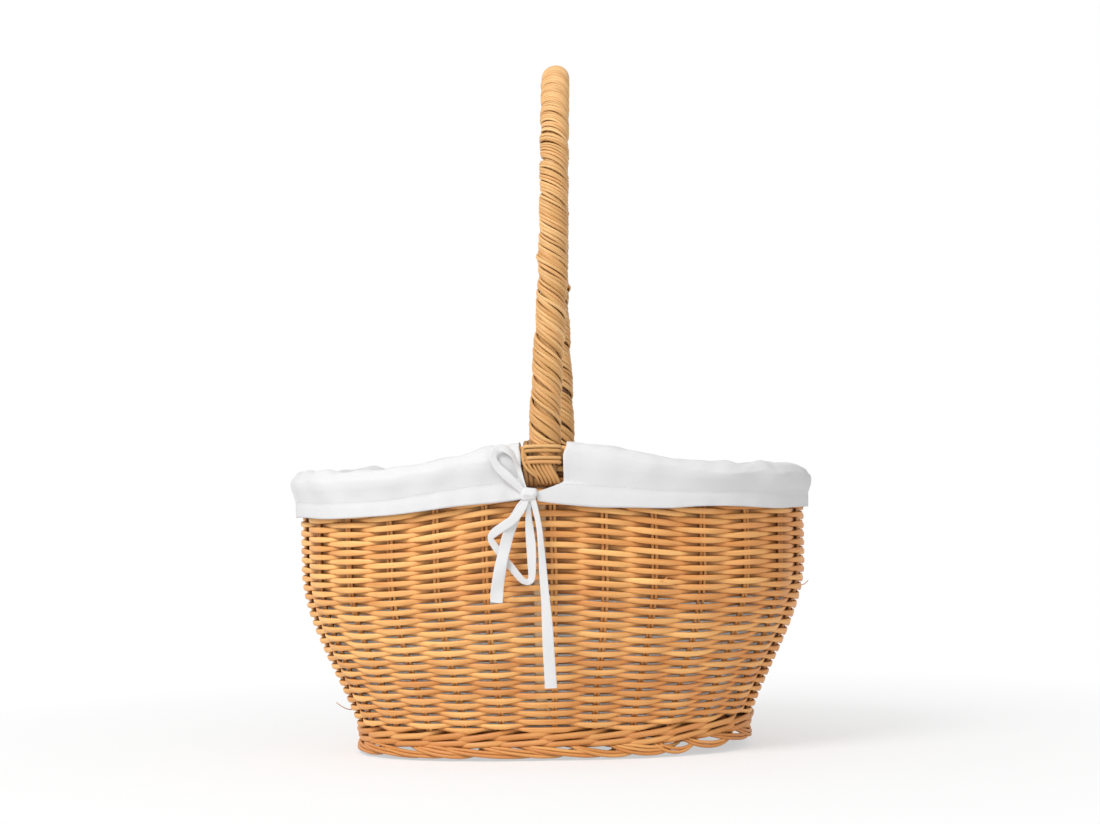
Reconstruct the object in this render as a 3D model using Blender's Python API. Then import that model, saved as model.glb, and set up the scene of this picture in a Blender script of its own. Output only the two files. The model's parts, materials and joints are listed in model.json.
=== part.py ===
"""Oval rattan foraging basket: paired stakes, woven wall, wrapped arch handle, and a tied cotton liner.

Metres, +Z up. The origin is on the ground under the middle of the basket. The long side runs along X,
the handle stands over the short axis, and the front is at -Y.
"""

import math

import bmesh
import bpy
import numpy as np
from mathutils import Vector

# Plan of the wall, to the middle of its thickness
RIM_HALF_LENGTH = 0.176
RIM_HALF_WIDTH = 0.117
FOOT_HALF_LENGTH = 0.135
FOOT_HALF_WIDTH = 0.083
PLAN_POWER = 2.5

# Heights
FOOT_HEIGHT = 0.0115
WALE_HEIGHT = 0.0125
BELLY_HEIGHT = 0.154
RIM_END_HEIGHT = 0.1987
RIM_SADDLE_RISE = 0.0172
SADDLE_HALF_LENGTH = 0.130
PROFILE_POWER = 1.1

# Clearances between touching pieces
GAP = 0.0003
WEAVE_CLEARANCE = 0.0005
CLOTH_CLEARANCE = 0.0005

# Stakes, each a pair of thin rods side by side
GAPS_PER_QUARTER = 7
HANDLE_GAP_SHARE = 1.2
STAKE_WIDTH = 0.0064
STAKE_THICKNESS = 0.0028
STAKE_TOP_DROP = 0.002
STAKE_FLAT_HALF = 0.0055
HANDLE_FLAT_HALF = 0.014
HANDLE_STAKE_SHIFT = 0.0058

# Woven wall
WEAVE_BANDS = 7
WEAVE_THICKNESS = 0.0032

# Foot and base
FOOT_BORDER_THICKNESS = 0.009
FOOT_ARCH_RISE = 0.003
FOOT_COLUMNS_PER_GAP = 3
WALE_THICKNESS = 0.010
BASE_MAT_THICKNESS = 0.0056
BASE_STICK_WIDTH = 0.006
BASE_STICK_HEIGHT = 0.003
BASE_STICK_SPACING = 0.035

# Rim hoops
HOOP_THICKNESS = 0.004
HOOP_HEIGHT = 0.011
HOOP_CLEARANCE = 0.0004

# Arch handle
HANDLE_TOP = 0.4875
CORE_RADIUS = 0.006
TONGUE_WIDTH = 0.007
TONGUE_THICKNESS = 0.003
TONGUE_SHIFT = 0.0015
TONGUE_SLANT = 0.0055
TONGUE_TAPER = 0.006
HANDLE_LEAN = 0.0108
HANDLE_SKEW_SHARE = 0.04
SKEW_RISE = 0.130
CORE_SIDES = 8
ARCH_STEPS = 32
LEG_STEPS = 8

# Cane wound round the handle
WRAP_LOOPS = 23
WRAP_START_SHARE = 0.4
WRAP_POINTS_PER_LOOP = 20
WRAP_THICKNESS = 0.0027
WRAP_CLEARANCE = 0.0006
WRAP_GAP = 0.0009
WRAP_BASE_PITCH_SHARE = 1.9
WRAP_EVEN_SHARE = 0.42

# Lashings where the handle meets the rim
LASHING_HALF_WIDTH = 0.0124
LASHING_THICKNESS = 0.0024
LASHING_DROP = 0.029
LASHING_STRANDS = 6
LASHING_GROOVE = 0.0007
CUT_OVERRUN = 0.0024

# Cotton liner
CLOTH_THICKNESS = 0.0012
CUFF_INNER_DROP = 0.016
CUFF_BULGE = 0.0029
CUFF_BULGE_DROP = 0.008
CUFF_CREASE = 0.0015
CUFF_CREASE_DROP = 0.019
HEM_END_HEIGHT = 0.168
HEM_RISE = 0.007
HEM_FOLD = 0.0014
FOLD_COLUMNS = 4
# How far across and up the other face of the cuff lies at each of its points, as shares of the thickness
CUFF_FACE_SHARES = [(-1, 0), (-1, 0.4), (-0.3, 1), (0.3, 1), (1, 0.1), (1, 0), (1, 0)]
BAG_FLOOR_ROOM = 0.0006
BAG_CORNER_RADIUS = 0.005
BAG_LEVEL_SHARES = (0.03, 0.12, 0.25, 0.45, 0.7, 1)

# Ribbon bows
BOW_STANDOFF = 0.0095
KNOT_HALF_WIDTH = 0.007
KNOT_HALF_DEPTH = 0.0038
KNOT_HALF_HEIGHT = 0.005
KNOT_SIDES = 12
KNOT_SHIFT = 0.009
KNOT_HEIGHT = 0.182
RIBBON_WIDTH = 0.0064
RIBBON_THICKNESS = 0.0008
RIBBON_LAYER = 0.002
GATHER_SHARE = 0.6
UPPER_LOOP_HEIGHT = 0.033
LOWER_LOOP_DROP = 0.0587
SHORT_TAIL_LENGTH = 0.072
LONG_TAIL_LENGTH = 0.128

# Routes of the ribbons from the knot, across and up, as shares of each one's length
UPPER_LOOP_SHARES = [
    (-0.42, 0.24),
    (-0.60, 0.45),
    (-0.64, 0.76),
    (-0.48, 0.98),
    (-0.28, 0.82),
    (-0.10, 0.44),
]
LOWER_LOOP_SHARES = [
    (-0.20, -0.27),
    (-0.34, -0.35),
    (-0.43, -0.44),
    (-0.45, -0.54),
    (-0.40, -0.66),
    (-0.27, -0.82),
    (-0.13, -0.93),
    (0.0, -0.985),
    (0.065, -0.94),
    (0.09, -0.82),
    (0.08, -0.58),
    (0.04, -0.34),
]
SHORT_TAIL_SHARES = [(-0.10, -0.22), (-0.16, -0.38), (-0.22, -0.58), (-0.26, -0.75), (-0.28, -1.0)]
LONG_TAIL_SHARES = [
    (0.06, -0.10),
    (0.07, -0.22),
    (0.08, -0.42),
    (0.085, -0.62),
    (0.08, -0.80),
    (0.08, -1.0),
]

# Colours as red, green, blue shares of full light
CANE_COLOUR_SHARES = (0.72, 0.44, 0.19)
CORE_COLOUR_SHARES = (0.45, 0.37, 0.19)
COTTON_COLOUR_SHARES = (0.86, 0.86, 0.84)
CANE_ROUGHNESS_SHARE = 0.55
CORE_ROUGHNESS_SHARE = 0.6
COTTON_ROUGHNESS_SHARE = 0.9

FINE_STEPS = 4000
SHARP_ANGLE = math.radians(40)
QUARTER_SHARE = 0.25


def clear_scene():
    for obj in list(bpy.data.objects):
        bpy.data.objects.remove(obj, do_unlink=True)


def make_material(name, colour, roughness):
    material = bpy.data.materials.new(name)
    material.use_nodes = True
    shader = material.node_tree.nodes["Principled BSDF"]
    shader.inputs["Base Color"].default_value = (*colour, 1)
    shader.inputs["Roughness"].default_value = roughness
    shader.inputs["Metallic"].default_value = 0
    return material


def make_empty(name):
    empty = bpy.data.objects.new(name, None)
    bpy.context.scene.collection.objects.link(empty)
    return empty


def place(name, mesh, material, parent, at=(0, 0, 0), turn=0.0):
    obj = bpy.data.objects.new(name, mesh)
    if not mesh.materials:
        mesh.materials.append(material)
    obj.location = at
    obj.rotation_euler = (0, 0, turn)
    obj.parent = parent
    bpy.context.scene.collection.objects.link(obj)
    return obj


def mesh_of(name, bm):
    bmesh.ops.recalc_face_normals(bm, faces=bm.faces)
    mesh = bpy.data.meshes.new(name)
    bm.to_mesh(mesh)
    bm.free()
    mesh.shade_smooth()
    mesh.set_sharp_from_angle(angle=SHARP_ANGLE)
    return mesh


def skin(name, rings, closed=False):
    """A mesh through rings of points: a closed loop of them, or a run with a face at each end."""
    bm = bmesh.new()
    loops = [[bm.verts.new(point) for point in ring] for ring in rings]
    followers = loops[1:] + loops[:1] if closed else loops[1:]
    for loop, after in zip(loops, followers):
        for i in range(len(loop)):
            bm.faces.new((loop[i - 1], loop[i], after[i], after[i - 1]))
    if not closed:
        bm.faces.new(loops[0])
        bm.faces.new(loops[-1])
    return mesh_of(name, bm)


def smooth_step(share):
    share = min(max(share, 0), 1)
    return share * share * (3 - 2 * share)


# Plan and profile of the wall


def oval(turn, half_length, half_width):
    across, along = math.cos(turn), math.sin(turn)
    power = 2 / PLAN_POWER
    return (
        half_length * math.copysign(abs(across) ** power, across),
        half_width * math.copysign(abs(along) ** power, along),
    )


def oval_normal(turn, half_length, half_width):
    across, along = math.cos(turn), math.sin(turn)
    power = 2 * (PLAN_POWER - 1) / PLAN_POWER
    normal = Vector((
        math.copysign(abs(across) ** power, across) / half_length,
        math.copysign(abs(along) ** power, along) / half_width,
        0,
    ))
    return normal.normalized()


def rim_turn_table():
    """Turns of the oval's formula and how far round the rim each lies, for even spacing."""
    turns = np.linspace(0, 2 * math.pi, FINE_STEPS + 1)
    points = np.array([oval(turn, RIM_HALF_LENGTH, RIM_HALF_WIDTH) for turn in turns])
    steps = np.linalg.norm(np.diff(points, axis=0), axis=1)
    return turns, np.concatenate([[0], np.cumsum(steps)])


RIM_TURNS, RIM_DISTANCES = rim_turn_table()
RIM_PERIMETER = RIM_DISTANCES[-1]


def turn_at(distance):
    """The turn of the oval's formula at a distance round the rim from its +X end."""
    return float(np.interp(distance % RIM_PERIMETER, RIM_DISTANCES, RIM_TURNS))


def profile_share(height):
    rise = (height - FOOT_HEIGHT) / (BELLY_HEIGHT - FOOT_HEIGHT)
    return math.sin(math.pi / 2 * min(max(rise, 0), 1) ** PROFILE_POWER)


def half_sizes(height):
    share = profile_share(height)
    return (
        FOOT_HALF_LENGTH + (RIM_HALF_LENGTH - FOOT_HALF_LENGTH) * share,
        FOOT_HALF_WIDTH + (RIM_HALF_WIDTH - FOOT_HALF_WIDTH) * share,
    )


def wall_point(turn, height, offset):
    """A point at this height and this far outside the middle of the wall."""
    sizes = half_sizes(height)
    return Vector((*oval(turn, *sizes), height)) + offset * oval_normal(turn, *sizes)


def saddle_share(turn):
    """1 at the handle, 0 towards the ends of the basket."""
    across = oval(turn, RIM_HALF_LENGTH, RIM_HALF_WIDTH)[0] / SADDLE_HALF_LENGTH
    return math.cos(math.pi / 2 * min(abs(across), 1)) ** 2


def rim_top(turn):
    return RIM_END_HEIGHT + RIM_SADDLE_RISE * saddle_share(turn)


WALE_TOP = FOOT_HEIGHT + WALE_HEIGHT
WALL_BOTTOM = WALE_TOP + GAP


def wall_top(turn):
    return rim_top(turn) - HOOP_HEIGHT - GAP


def wall_level(turn, share):
    return WALL_BOTTOM + share * (wall_top(turn) - WALL_BOTTOM)


# Stations of the stakes round the wall


def station_distances():
    """Distances of the stakes round the rim from its +X end, with a wider gap beside the handle."""
    quarter = RIM_PERIMETER * QUARTER_SHARE
    step = quarter / (GAPS_PER_QUARTER - 1 + HANDLE_GAP_SHARE)
    side = [i * step for i in range(GAPS_PER_QUARTER)]
    half = side + [2 * quarter - distance for distance in reversed(side[1:])]
    half.insert(GAPS_PER_QUARTER, quarter)
    return half + [2 * quarter + distance for distance in half]


STATIONS = station_distances()
REAR_STATION = GAPS_PER_QUARTER
FRONT_STATION = 3 * GAPS_PER_QUARTER
HANDLE_STATIONS = (REAR_STATION, FRONT_STATION)


def columns():
    """(turn, station, side) for the two columns that flank each stake, all round."""
    found = []
    for station, distance in enumerate(STATIONS):
        half = HANDLE_FLAT_HALF if station in HANDLE_STATIONS else STAKE_FLAT_HALF
        found += [(turn_at(distance + side * half), station, side) for side in (-1, 1)]
    return found


COLUMNS = columns()
WEAVE_OFFSET = STAKE_THICKNESS / 2 + WEAVE_CLEARANCE + WEAVE_THICKNESS / 2
HOOP_OFFSET = STAKE_THICKNESS / 2 + HOOP_CLEARANCE + HOOP_THICKNESS / 2
HOOP_REACH = HOOP_OFFSET + HOOP_THICKNESS / 2


def wall_section(turn, low, high, offset, thickness):
    near, far = offset - thickness / 2, offset + thickness / 2
    return [
        wall_point(turn, low, near),
        wall_point(turn, low, far),
        wall_point(turn, high, far),
        wall_point(turn, high, near),
    ]


# Basket pieces


def weave_mesh(band):
    """One band of the wall, which stands for a few rows: in front of one stake and behind the next."""
    rings = []
    for turn, station, _ in COLUMNS:
        low = wall_level(turn, band / WEAVE_BANDS) + GAP / 2
        high = wall_level(turn, (band + 1) / WEAVE_BANDS) - GAP / 2
        offset = WEAVE_OFFSET if (band + station) % 2 else -WEAVE_OFFSET
        rings.append(wall_section(turn, low, high, offset, WEAVE_THICKNESS))
    return skin("wall_weave", rings, closed=True)


def stake_mesh(station, at):
    """A stake from the wale to between the rim hoops, with its points measured from its foot."""
    is_handle = station in HANDLE_STATIONS
    shift = HANDLE_STAKE_SHIFT if is_handle else 0
    turn = turn_at(STATIONS[station] + shift)
    tops = [wall_level(turn, band / WEAVE_BANDS) for band in range(WEAVE_BANDS + 1)]
    heights = tops if is_handle else tops + [rim_top(turn) - STAKE_TOP_DROP]
    rings = []
    for height in heights:
        out = oval_normal(turn, *half_sizes(height))
        side = Vector((-out.y, out.x, 0))
        middle = wall_point(turn, height, 0) - at
        rings.append([
            middle + out * (u * STAKE_THICKNESS / 2) + side * (v * STAKE_WIDTH / 2)
            for u, v in ((-1, -1), (1, -1), (1, 1), (-1, 1))
        ])
    return skin("stake", rings)


def stake_foot(station):
    shift = HANDLE_STAKE_SHIFT if station in HANDLE_STATIONS else 0
    return wall_point(turn_at(STATIONS[station] + shift), WALL_BOTTOM, 0)


def hoop_mesh(offset):
    rings = []
    for turn, _, _ in COLUMNS:
        top = rim_top(turn)
        rings.append(wall_section(turn, top - HOOP_HEIGHT, top, offset, HOOP_THICKNESS))
    return skin("rim_hoop", rings, closed=True)


def wale_mesh():
    rings = []
    for turn, _, _ in COLUMNS:
        rings.append(wall_section(turn, FOOT_HEIGHT + GAP, WALE_TOP, 0, WALE_THICKNESS))
    return skin("foot_wale", rings, closed=True)


def foot_border_mesh():
    """The border that the basket stands on: flat feet between the stakes, arched up under each one."""
    rings = []
    for station, distance in enumerate(STATIONS):
        after = STATIONS[station + 1] if station + 1 < len(STATIONS) else RIM_PERIMETER
        for column in range(FOOT_COLUMNS_PER_GAP):
            turn = turn_at(distance + (after - distance) * column / FOOT_COLUMNS_PER_GAP)
            low = FOOT_ARCH_RISE if column == 0 else 0
            rings.append(wall_section(turn, low, FOOT_HEIGHT, 0, FOOT_BORDER_THICKNESS))
    return skin("foot_border", rings, closed=True)


BASE_BOTTOM = FOOT_HEIGHT + GAP
BASE_TOP = BASE_BOTTOM + BASE_MAT_THICKNESS
STICK_BOTTOM = BASE_TOP + GAP
STICK_TOP = STICK_BOTTOM + BASE_STICK_HEIGHT
BAG_FLOOR = STICK_TOP + BAG_FLOOR_ROOM


def base_mat_mesh():
    inset = -WALE_THICKNESS / 2 - GAP
    rings = []
    for height in (BASE_BOTTOM, BASE_TOP):
        rings.append([wall_point(turn, height, inset) for turn, _, _ in COLUMNS])
    return skin("base_mat", rings)


def base_stick_mesh(across):
    """A lengthwise stick of the base, reaching to the wale on both sides."""
    half_length, half_width = half_sizes(BASE_BOTTOM)
    edge = abs(across) + BASE_STICK_WIDTH / 2
    room = half_width - WALE_THICKNESS / 2
    reach = (half_length - WALE_THICKNESS / 2) * (1 - (edge / room) ** PLAN_POWER) ** (1 / PLAN_POWER)
    reach -= BASE_STICK_WIDTH / 2
    rings = []
    for end in (-reach, reach):
        rings.append([
            (end, across + v * BASE_STICK_WIDTH / 2, height)
            for v, height in ((-1, STICK_BOTTOM), (1, STICK_BOTTOM), (1, STICK_TOP), (-1, STICK_TOP))
        ])
    return skin("base_stick", rings)


# Handle

WRAP_RADIUS = CORE_RADIUS + WRAP_CLEARANCE + WRAP_THICKNESS
RIM_AT_HANDLE = RIM_END_HEIGHT + RIM_SADDLE_RISE
LASHING_TOP = RIM_AT_HANDLE + GAP + LASHING_THICKNESS
LEG_BOTTOM = LASHING_TOP + GAP
ARCH_RADIUS = RIM_HALF_WIDTH
ARCH_HEIGHT = HANDLE_TOP - WRAP_RADIUS - ARCH_RADIUS
LEG_LENGTH = ARCH_HEIGHT - LEG_BOTTOM
HANDLE_LENGTH = 2 * LEG_LENGTH + math.pi * ARCH_RADIUS


def handle_point(distance):
    """The middle of the handle, this far along it from the lashing at the front to the one at the rear."""
    on_arch = min(max(distance - LEG_LENGTH, 0), math.pi * ARCH_RADIUS)
    angle = on_arch / ARCH_RADIUS
    down = max(LEG_LENGTH - distance, distance - HANDLE_LENGTH + LEG_LENGTH, 0)
    y = -ARCH_RADIUS * math.cos(angle)
    z = ARCH_HEIGHT + ARCH_RADIUS * math.sin(angle) - down
    lean = HANDLE_LEAN * (z - LEG_BOTTOM) / (HANDLE_TOP - LEG_BOTTOM)
    skew = HANDLE_SKEW_SHARE * smooth_step((z - LEG_BOTTOM) / SKEW_RISE)
    return Vector((lean - y * skew, y, z))


def handle_frame(distance):
    """The middle of the handle there, the direction out of the arch, and the direction to its side."""
    step = CORE_RADIUS / 4
    along = (handle_point(distance + step) - handle_point(distance - step)).normalized()
    side = Vector((1, 0, 0))
    side = (side - along * side.dot(along)).normalized()
    return handle_point(distance), side.cross(along), side


def core_ring(middle, out, side, half_depth, half_width):
    ring = []
    for i in range(CORE_SIDES):
        angle = 2 * math.pi * (i + 0.5) / CORE_SIDES
        ring.append(middle + out * (half_depth * math.cos(angle)) + side * (half_width * math.sin(angle)))
    return ring


def tongue_rings(front):
    """The handle's end, pared flat, from its tip in the wall up to the rim."""
    turn = turn_at(STATIONS[FRONT_STATION])
    levels = [wall_level(turn, band / WEAVE_BANDS) for band in range(WEAVE_BANDS + 1)]
    corner = 1 / math.cos(math.pi / CORE_SIDES)
    rings = []
    for height in levels + [RIM_AT_HANDLE + GAP]:
        slant = TONGUE_SLANT * min(max((RIM_AT_HANDLE - height) / RIM_AT_HANDLE, 0), 1)
        middle = Vector((-TONGUE_SHIFT - slant, -half_sizes(height)[1], height))
        ring = core_ring(
            middle,
            Vector((0, -1, 0)),
            Vector((1, 0, 0)),
            TONGUE_THICKNESS / 2 * corner,
            TONGUE_WIDTH / 2 * corner,
        )
        if not front:
            ring = [Vector((-point.x, -point.y, point.z)) for point in ring]
        rings.append(ring)
    return rings


def handle_core_mesh():
    """One bent rod: round over the arch, and pared to a flat tongue down each side."""
    arch = math.pi * ARCH_RADIUS
    distances = [LEG_LENGTH * i / LEG_STEPS for i in range(LEG_STEPS)]
    distances[0] = TONGUE_TAPER
    distances += [LEG_LENGTH + arch * i / ARCH_STEPS for i in range(ARCH_STEPS + 1)]
    distances += [HANDLE_LENGTH - distance for distance in reversed(distances[:LEG_STEPS])]
    rings = [core_ring(*handle_frame(distance), CORE_RADIUS, CORE_RADIUS) for distance in distances]
    rear = [[ring[CORE_SIDES // 2 - 1 - i] for i in range(CORE_SIDES)] for ring in tongue_rings(False)]
    return skin("handle_core", tongue_rings(True) + rings + rear[::-1])


def wrap_turns():
    """Distances along the handle and the turn there: square turns over the top, steeper down the legs."""
    along = np.linspace(0, HANDLE_LENGTH, FINE_STEPS)
    from_top = np.abs(along / HANDLE_LENGTH - 0.5) * 2
    rise = np.clip((from_top - WRAP_EVEN_SHARE) / (1 - WRAP_EVEN_SHARE), 0, 1)
    shape = 1 + (WRAP_BASE_PITCH_SHARE - 1) * rise
    turns = np.concatenate([[0], np.cumsum((1 / shape[:-1] + 1 / shape[1:]) / 2)])
    return along, turns * WRAP_LOOPS / turns[-1]


def wrap_point(distance, turn, radius):
    middle, out, side = handle_frame(distance)
    return middle + radius * (out * math.cos(turn) - side * math.sin(turn))


def handle_wrap_mesh():
    """The cane wound round the handle, as one unbroken flat winding, and its least gap to itself."""
    along, turns = wrap_turns()
    count = round((WRAP_LOOPS + 2 * WRAP_START_SHARE) * WRAP_POINTS_PER_LOOP)
    inner, outer = WRAP_RADIUS - WRAP_THICKNESS, WRAP_RADIUS
    rings = []
    for i in range(count + 1):
        turned = i / WRAP_POINTS_PER_LOOP - WRAP_START_SHARE
        angle = 2 * math.pi * turned
        edges = [np.interp(turned + half, turns, along) for half in (-0.5, 0.5)]
        low, high = edges[0] + WRAP_GAP / 2, edges[1] - WRAP_GAP / 2
        rings.append([
            wrap_point(low, angle, inner),
            wrap_point(low, angle, outer),
            wrap_point(high, angle, outer),
            wrap_point(high, angle, inner),
        ])
    lower, upper = (np.array([ring[corner] for ring in rings]) for corner in (1, 2))
    half_loop = WRAP_POINTS_PER_LOOP // 2
    gaps = [
        float(np.linalg.norm(lower[i + half_loop:] - upper[i], axis=1).min())
        for i in range(len(upper) - half_loop)
    ]
    print(f"handle_wrap: least gap to itself {min(gaps) * 1000:.2f} mm over {WRAP_LOOPS} loops")
    return skin("handle_wrap", rings)


LASHING_REACH = HOOP_REACH + GAP + LASHING_THICKNESS
# How much further in the liner lies at the handle, to pass the lashing and, when lifted, the winding
HANDLE_PULL = max(LASHING_REACH, WRAP_RADIUS) - HOOP_REACH


def lashing_mesh():
    """The front lashing: turns of cane hooked over both rim hoops, with a hole for the handle's core.
    Its points are measured from the middle of the rim at the handle."""
    inner, outer = HOOP_REACH + GAP, LASHING_REACH
    low, roof = -LASHING_DROP, GAP
    outline = [(inner, low)]
    for i in range(LASHING_STRANDS):
        strand = (LASHING_DROP + roof) / LASHING_STRANDS
        bottom = low + i * strand
        outline.append((outer - LASHING_GROOVE, bottom))
        outline.append((outer, bottom + strand / 3))
        outline.append((outer, bottom + 2 * strand / 3))
    outline += [(outer - LASHING_GROOVE, roof + LASHING_THICKNESS), (-outer, roof + LASHING_THICKNESS)]
    outline += [(-outer, low / 2), (-inner, low / 2), (-inner, roof), (inner, roof)]
    rings = []
    for x in (-LASHING_HALF_WIDTH, LASHING_HALF_WIDTH):
        rings.append([(x, -offset, height) for offset, height in outline])
    return skin("lashing", rings)


def core_cutter(parent, side):
    bm = bmesh.new()
    bmesh.ops.create_cone(
        bm,
        cap_ends=True,
        segments=2 * CORE_SIDES,
        radius1=CORE_RADIUS + GAP,
        radius2=CORE_RADIUS + GAP,
        depth=2 * (LASHING_THICKNESS + CUT_OVERRUN),
    )
    mesh = mesh_of("core_hole", bm)
    cutter = place("core_hole", mesh, None, parent, at=(0, side * RIM_HALF_WIDTH, RIM_AT_HANDLE))
    cutter.hide_render = True
    cutter.display_type = "WIRE"
    return cutter


# Liner


def cuff_section(turn, station, fold):
    """Points across the cuff, from its inner edge over the rim to its hem, and back by its other face."""
    top = rim_top(turn)
    hem = HEM_END_HEIGHT + HEM_RISE * saddle_share(turn)
    near = HOOP_REACH + CLOTH_CLEARANCE
    pull = HANDLE_PULL if station in HANDLE_STATIONS else 0
    points = [
        (-near - pull, top - CUFF_INNER_DROP),
        (-near - pull, top),
        (-HOOP_REACH, top + CLOTH_CLEARANCE),
        (HOOP_REACH, top + CLOTH_CLEARANCE),
        (near + CUFF_BULGE, top - CUFF_BULGE_DROP),
        (near + CUFF_CREASE, top - CUFF_CREASE_DROP),
        (near + fold, hem),
    ]
    here = [(across, up) for across, up in points]
    there = [
        (across + u * CLOTH_THICKNESS, up + v * CLOTH_THICKNESS)
        for (across, up), (u, v) in zip(points, CUFF_FACE_SHARES)
    ]
    out = oval_normal(turn, *half_sizes(top))
    rim = wall_point(turn, top, 0)
    return [Vector((rim.x, rim.y, up)) + out * across for across, up in here + there[::-1]]


def cuff_mesh(first_station, last_station):
    """One half of the folded-over cuff, from one side of the handle round an end to the other side."""
    chosen = []
    for step in range(first_station, last_station + 1):
        station = step % len(STATIONS)
        sides = (1,) if step == first_station else (-1,) if step == last_station else (-1, 1)
        chosen += [column for column in COLUMNS if column[1] == station and column[2] in sides]
    rings = []
    for i, (turn, station, _) in enumerate(chosen):
        fold = HEM_FOLD * (0.5 - 0.5 * math.cos(2 * math.pi * i / FOLD_COLUMNS))
        rings.append(cuff_section(turn, station, fold))
    return skin("liner_cuff", rings)


def bag_ring(height_of, inset):
    ring = []
    for turn, station, _ in COLUMNS:
        pull = HANDLE_PULL if station in HANDLE_STATIONS else 0
        height = height_of(turn)
        out = oval_normal(turn, *half_sizes(height))
        middle = wall_point(turn, height, 0)
        ring.append(middle - out * (HOOP_REACH + CLOTH_CLEARANCE + pull + inset))
    return ring


def bag_mesh():
    """The bag of the liner, a thin open shell that hangs inside the wall from the cuff to the base."""

    def top(turn):
        return rim_top(turn) - CUFF_INNER_DROP - GAP

    def level(share):
        return lambda turn: BAG_FLOOR + share * (top(turn) - BAG_FLOOR)

    outer = [bag_ring(level(0), BAG_CORNER_RADIUS)]
    outer += [bag_ring(level(share), 0) for share in BAG_LEVEL_SHARES]
    inner = [bag_ring(lambda turn: BAG_FLOOR + CLOTH_THICKNESS, BAG_CORNER_RADIUS + CLOTH_THICKNESS)]
    inner += [bag_ring(level(share), CLOTH_THICKNESS) for share in BAG_LEVEL_SHARES]
    return skin("liner_bag", outer + inner[::-1])


def knot_edge(point):
    """Just outside the knot, on the way to this point."""
    reach = math.hypot(point[0] / KNOT_HALF_WIDTH, point[1] / KNOT_HALF_HEIGHT)
    distance = math.hypot(*point)
    share = 1 / reach + GAP / distance
    return point[0] * share, point[1] * share


def ribbon_mesh(name, shares, length, layer, is_loop):
    """A flat ribbon along its route from the knot, with its points measured from the knot's middle."""
    route = [(across * length, up * length) for across, up in shares]
    route = [knot_edge(route[0])] + route
    if is_loop:
        route.append(knot_edge(route[-1]))
    depth = layer * RIBBON_LAYER
    rings = []
    for i, (x, z) in enumerate(route):
        before, after = route[max(i - 1, 0)], route[min(i + 1, len(route) - 1)]
        along = Vector((after[0] - before[0], 0, after[1] - before[1])).normalized()
        across = Vector((along.z, 0, -along.x))
        gathered = i == 0 or is_loop and i == len(route) - 1
        half = RIBBON_WIDTH / 2 * (GATHER_SHARE if gathered else 1)
        middle = Vector((x, -depth, z))
        thick = Vector((0, RIBBON_THICKNESS / 2, 0))
        rings.append([
            middle - across * half - thick,
            middle + across * half - thick,
            middle + across * half + thick,
            middle - across * half + thick,
        ])
    return skin(name, rings)


def knot_mesh():
    bm = bmesh.new()
    bmesh.ops.create_uvsphere(bm, u_segments=KNOT_SIDES, v_segments=KNOT_SIDES // 2, radius=1)
    bmesh.ops.scale(bm, vec=(KNOT_HALF_WIDTH, KNOT_HALF_DEPTH, KNOT_HALF_HEIGHT), verts=bm.verts)
    return mesh_of("bow_knot", bm)


def build_basket(parent, cane, core):
    for station in range(len(STATIONS)):
        at = stake_foot(station)
        number = (station - FRONT_STATION) % len(STATIONS) + 1
        place(f"stake_{number:02d}", stake_mesh(station, at), cane, parent, at=at)
    for band in range(WEAVE_BANDS):
        place(f"wall_weave_{band + 1}", weave_mesh(band), cane, parent)
    place("foot_wale", wale_mesh(), cane, parent)
    place("foot_border", foot_border_mesh(), cane, parent)
    place("base_mat", base_mat_mesh(), cane, parent)
    for i, side in enumerate((-1, 0, 1)):
        place(f"base_stick_{i + 1}", base_stick_mesh(side * BASE_STICK_SPACING), cane, parent)
    place("outer_rim_hoop", hoop_mesh(HOOP_OFFSET), cane, parent)
    place("inner_rim_hoop", hoop_mesh(-HOOP_OFFSET), cane, parent)
    place("handle_core", handle_core_mesh(), core, parent)
    place("handle_wrap", handle_wrap_mesh(), cane, parent)
    mesh = lashing_mesh()
    for name, side, turn in (("front_lashing", -1, 0.0), ("rear_lashing", 1, math.pi)):
        at = (0, side * RIM_HALF_WIDTH, RIM_AT_HANDLE)
        lashing = place(name, mesh, cane, parent, at=at, turn=turn)
        cut = lashing.modifiers.new("core_hole", "BOOLEAN")
        cut.operation = "DIFFERENCE"
        cut.object = core_cutter(parent, side)


def build_liner(parent, cotton):
    count = len(STATIONS)
    place("liner_bag", bag_mesh(), cotton, parent)
    place("liner_cuff_left", cuff_mesh(REAR_STATION, FRONT_STATION), cotton, parent)
    place("liner_cuff_right", cuff_mesh(FRONT_STATION, REAR_STATION + count), cotton, parent)
    ribbons = {
        "bow_knot": knot_mesh(),
        "bow_upper_loop": ribbon_mesh("upper_loop", UPPER_LOOP_SHARES, UPPER_LOOP_HEIGHT, -1, True),
        "bow_lower_loop": ribbon_mesh("lower_loop", LOWER_LOOP_SHARES, LOWER_LOOP_DROP, -1, True),
        "bow_short_tail": ribbon_mesh("short_tail", SHORT_TAIL_SHARES, SHORT_TAIL_LENGTH, 0, False),
        "bow_long_tail": ribbon_mesh("long_tail", LONG_TAIL_SHARES, LONG_TAIL_LENGTH, 0, False),
    }
    depth = RIM_HALF_WIDTH + BOW_STANDOFF + KNOT_HALF_DEPTH
    for where, side, turn in (("front", -1, 0.0), ("rear", 1, math.pi)):
        at = (side * KNOT_SHIFT, side * depth, KNOT_HEIGHT)
        for name, mesh in ribbons.items():
            place(f"{where}_{name}", mesh, cotton, parent, at=at, turn=turn)


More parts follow.
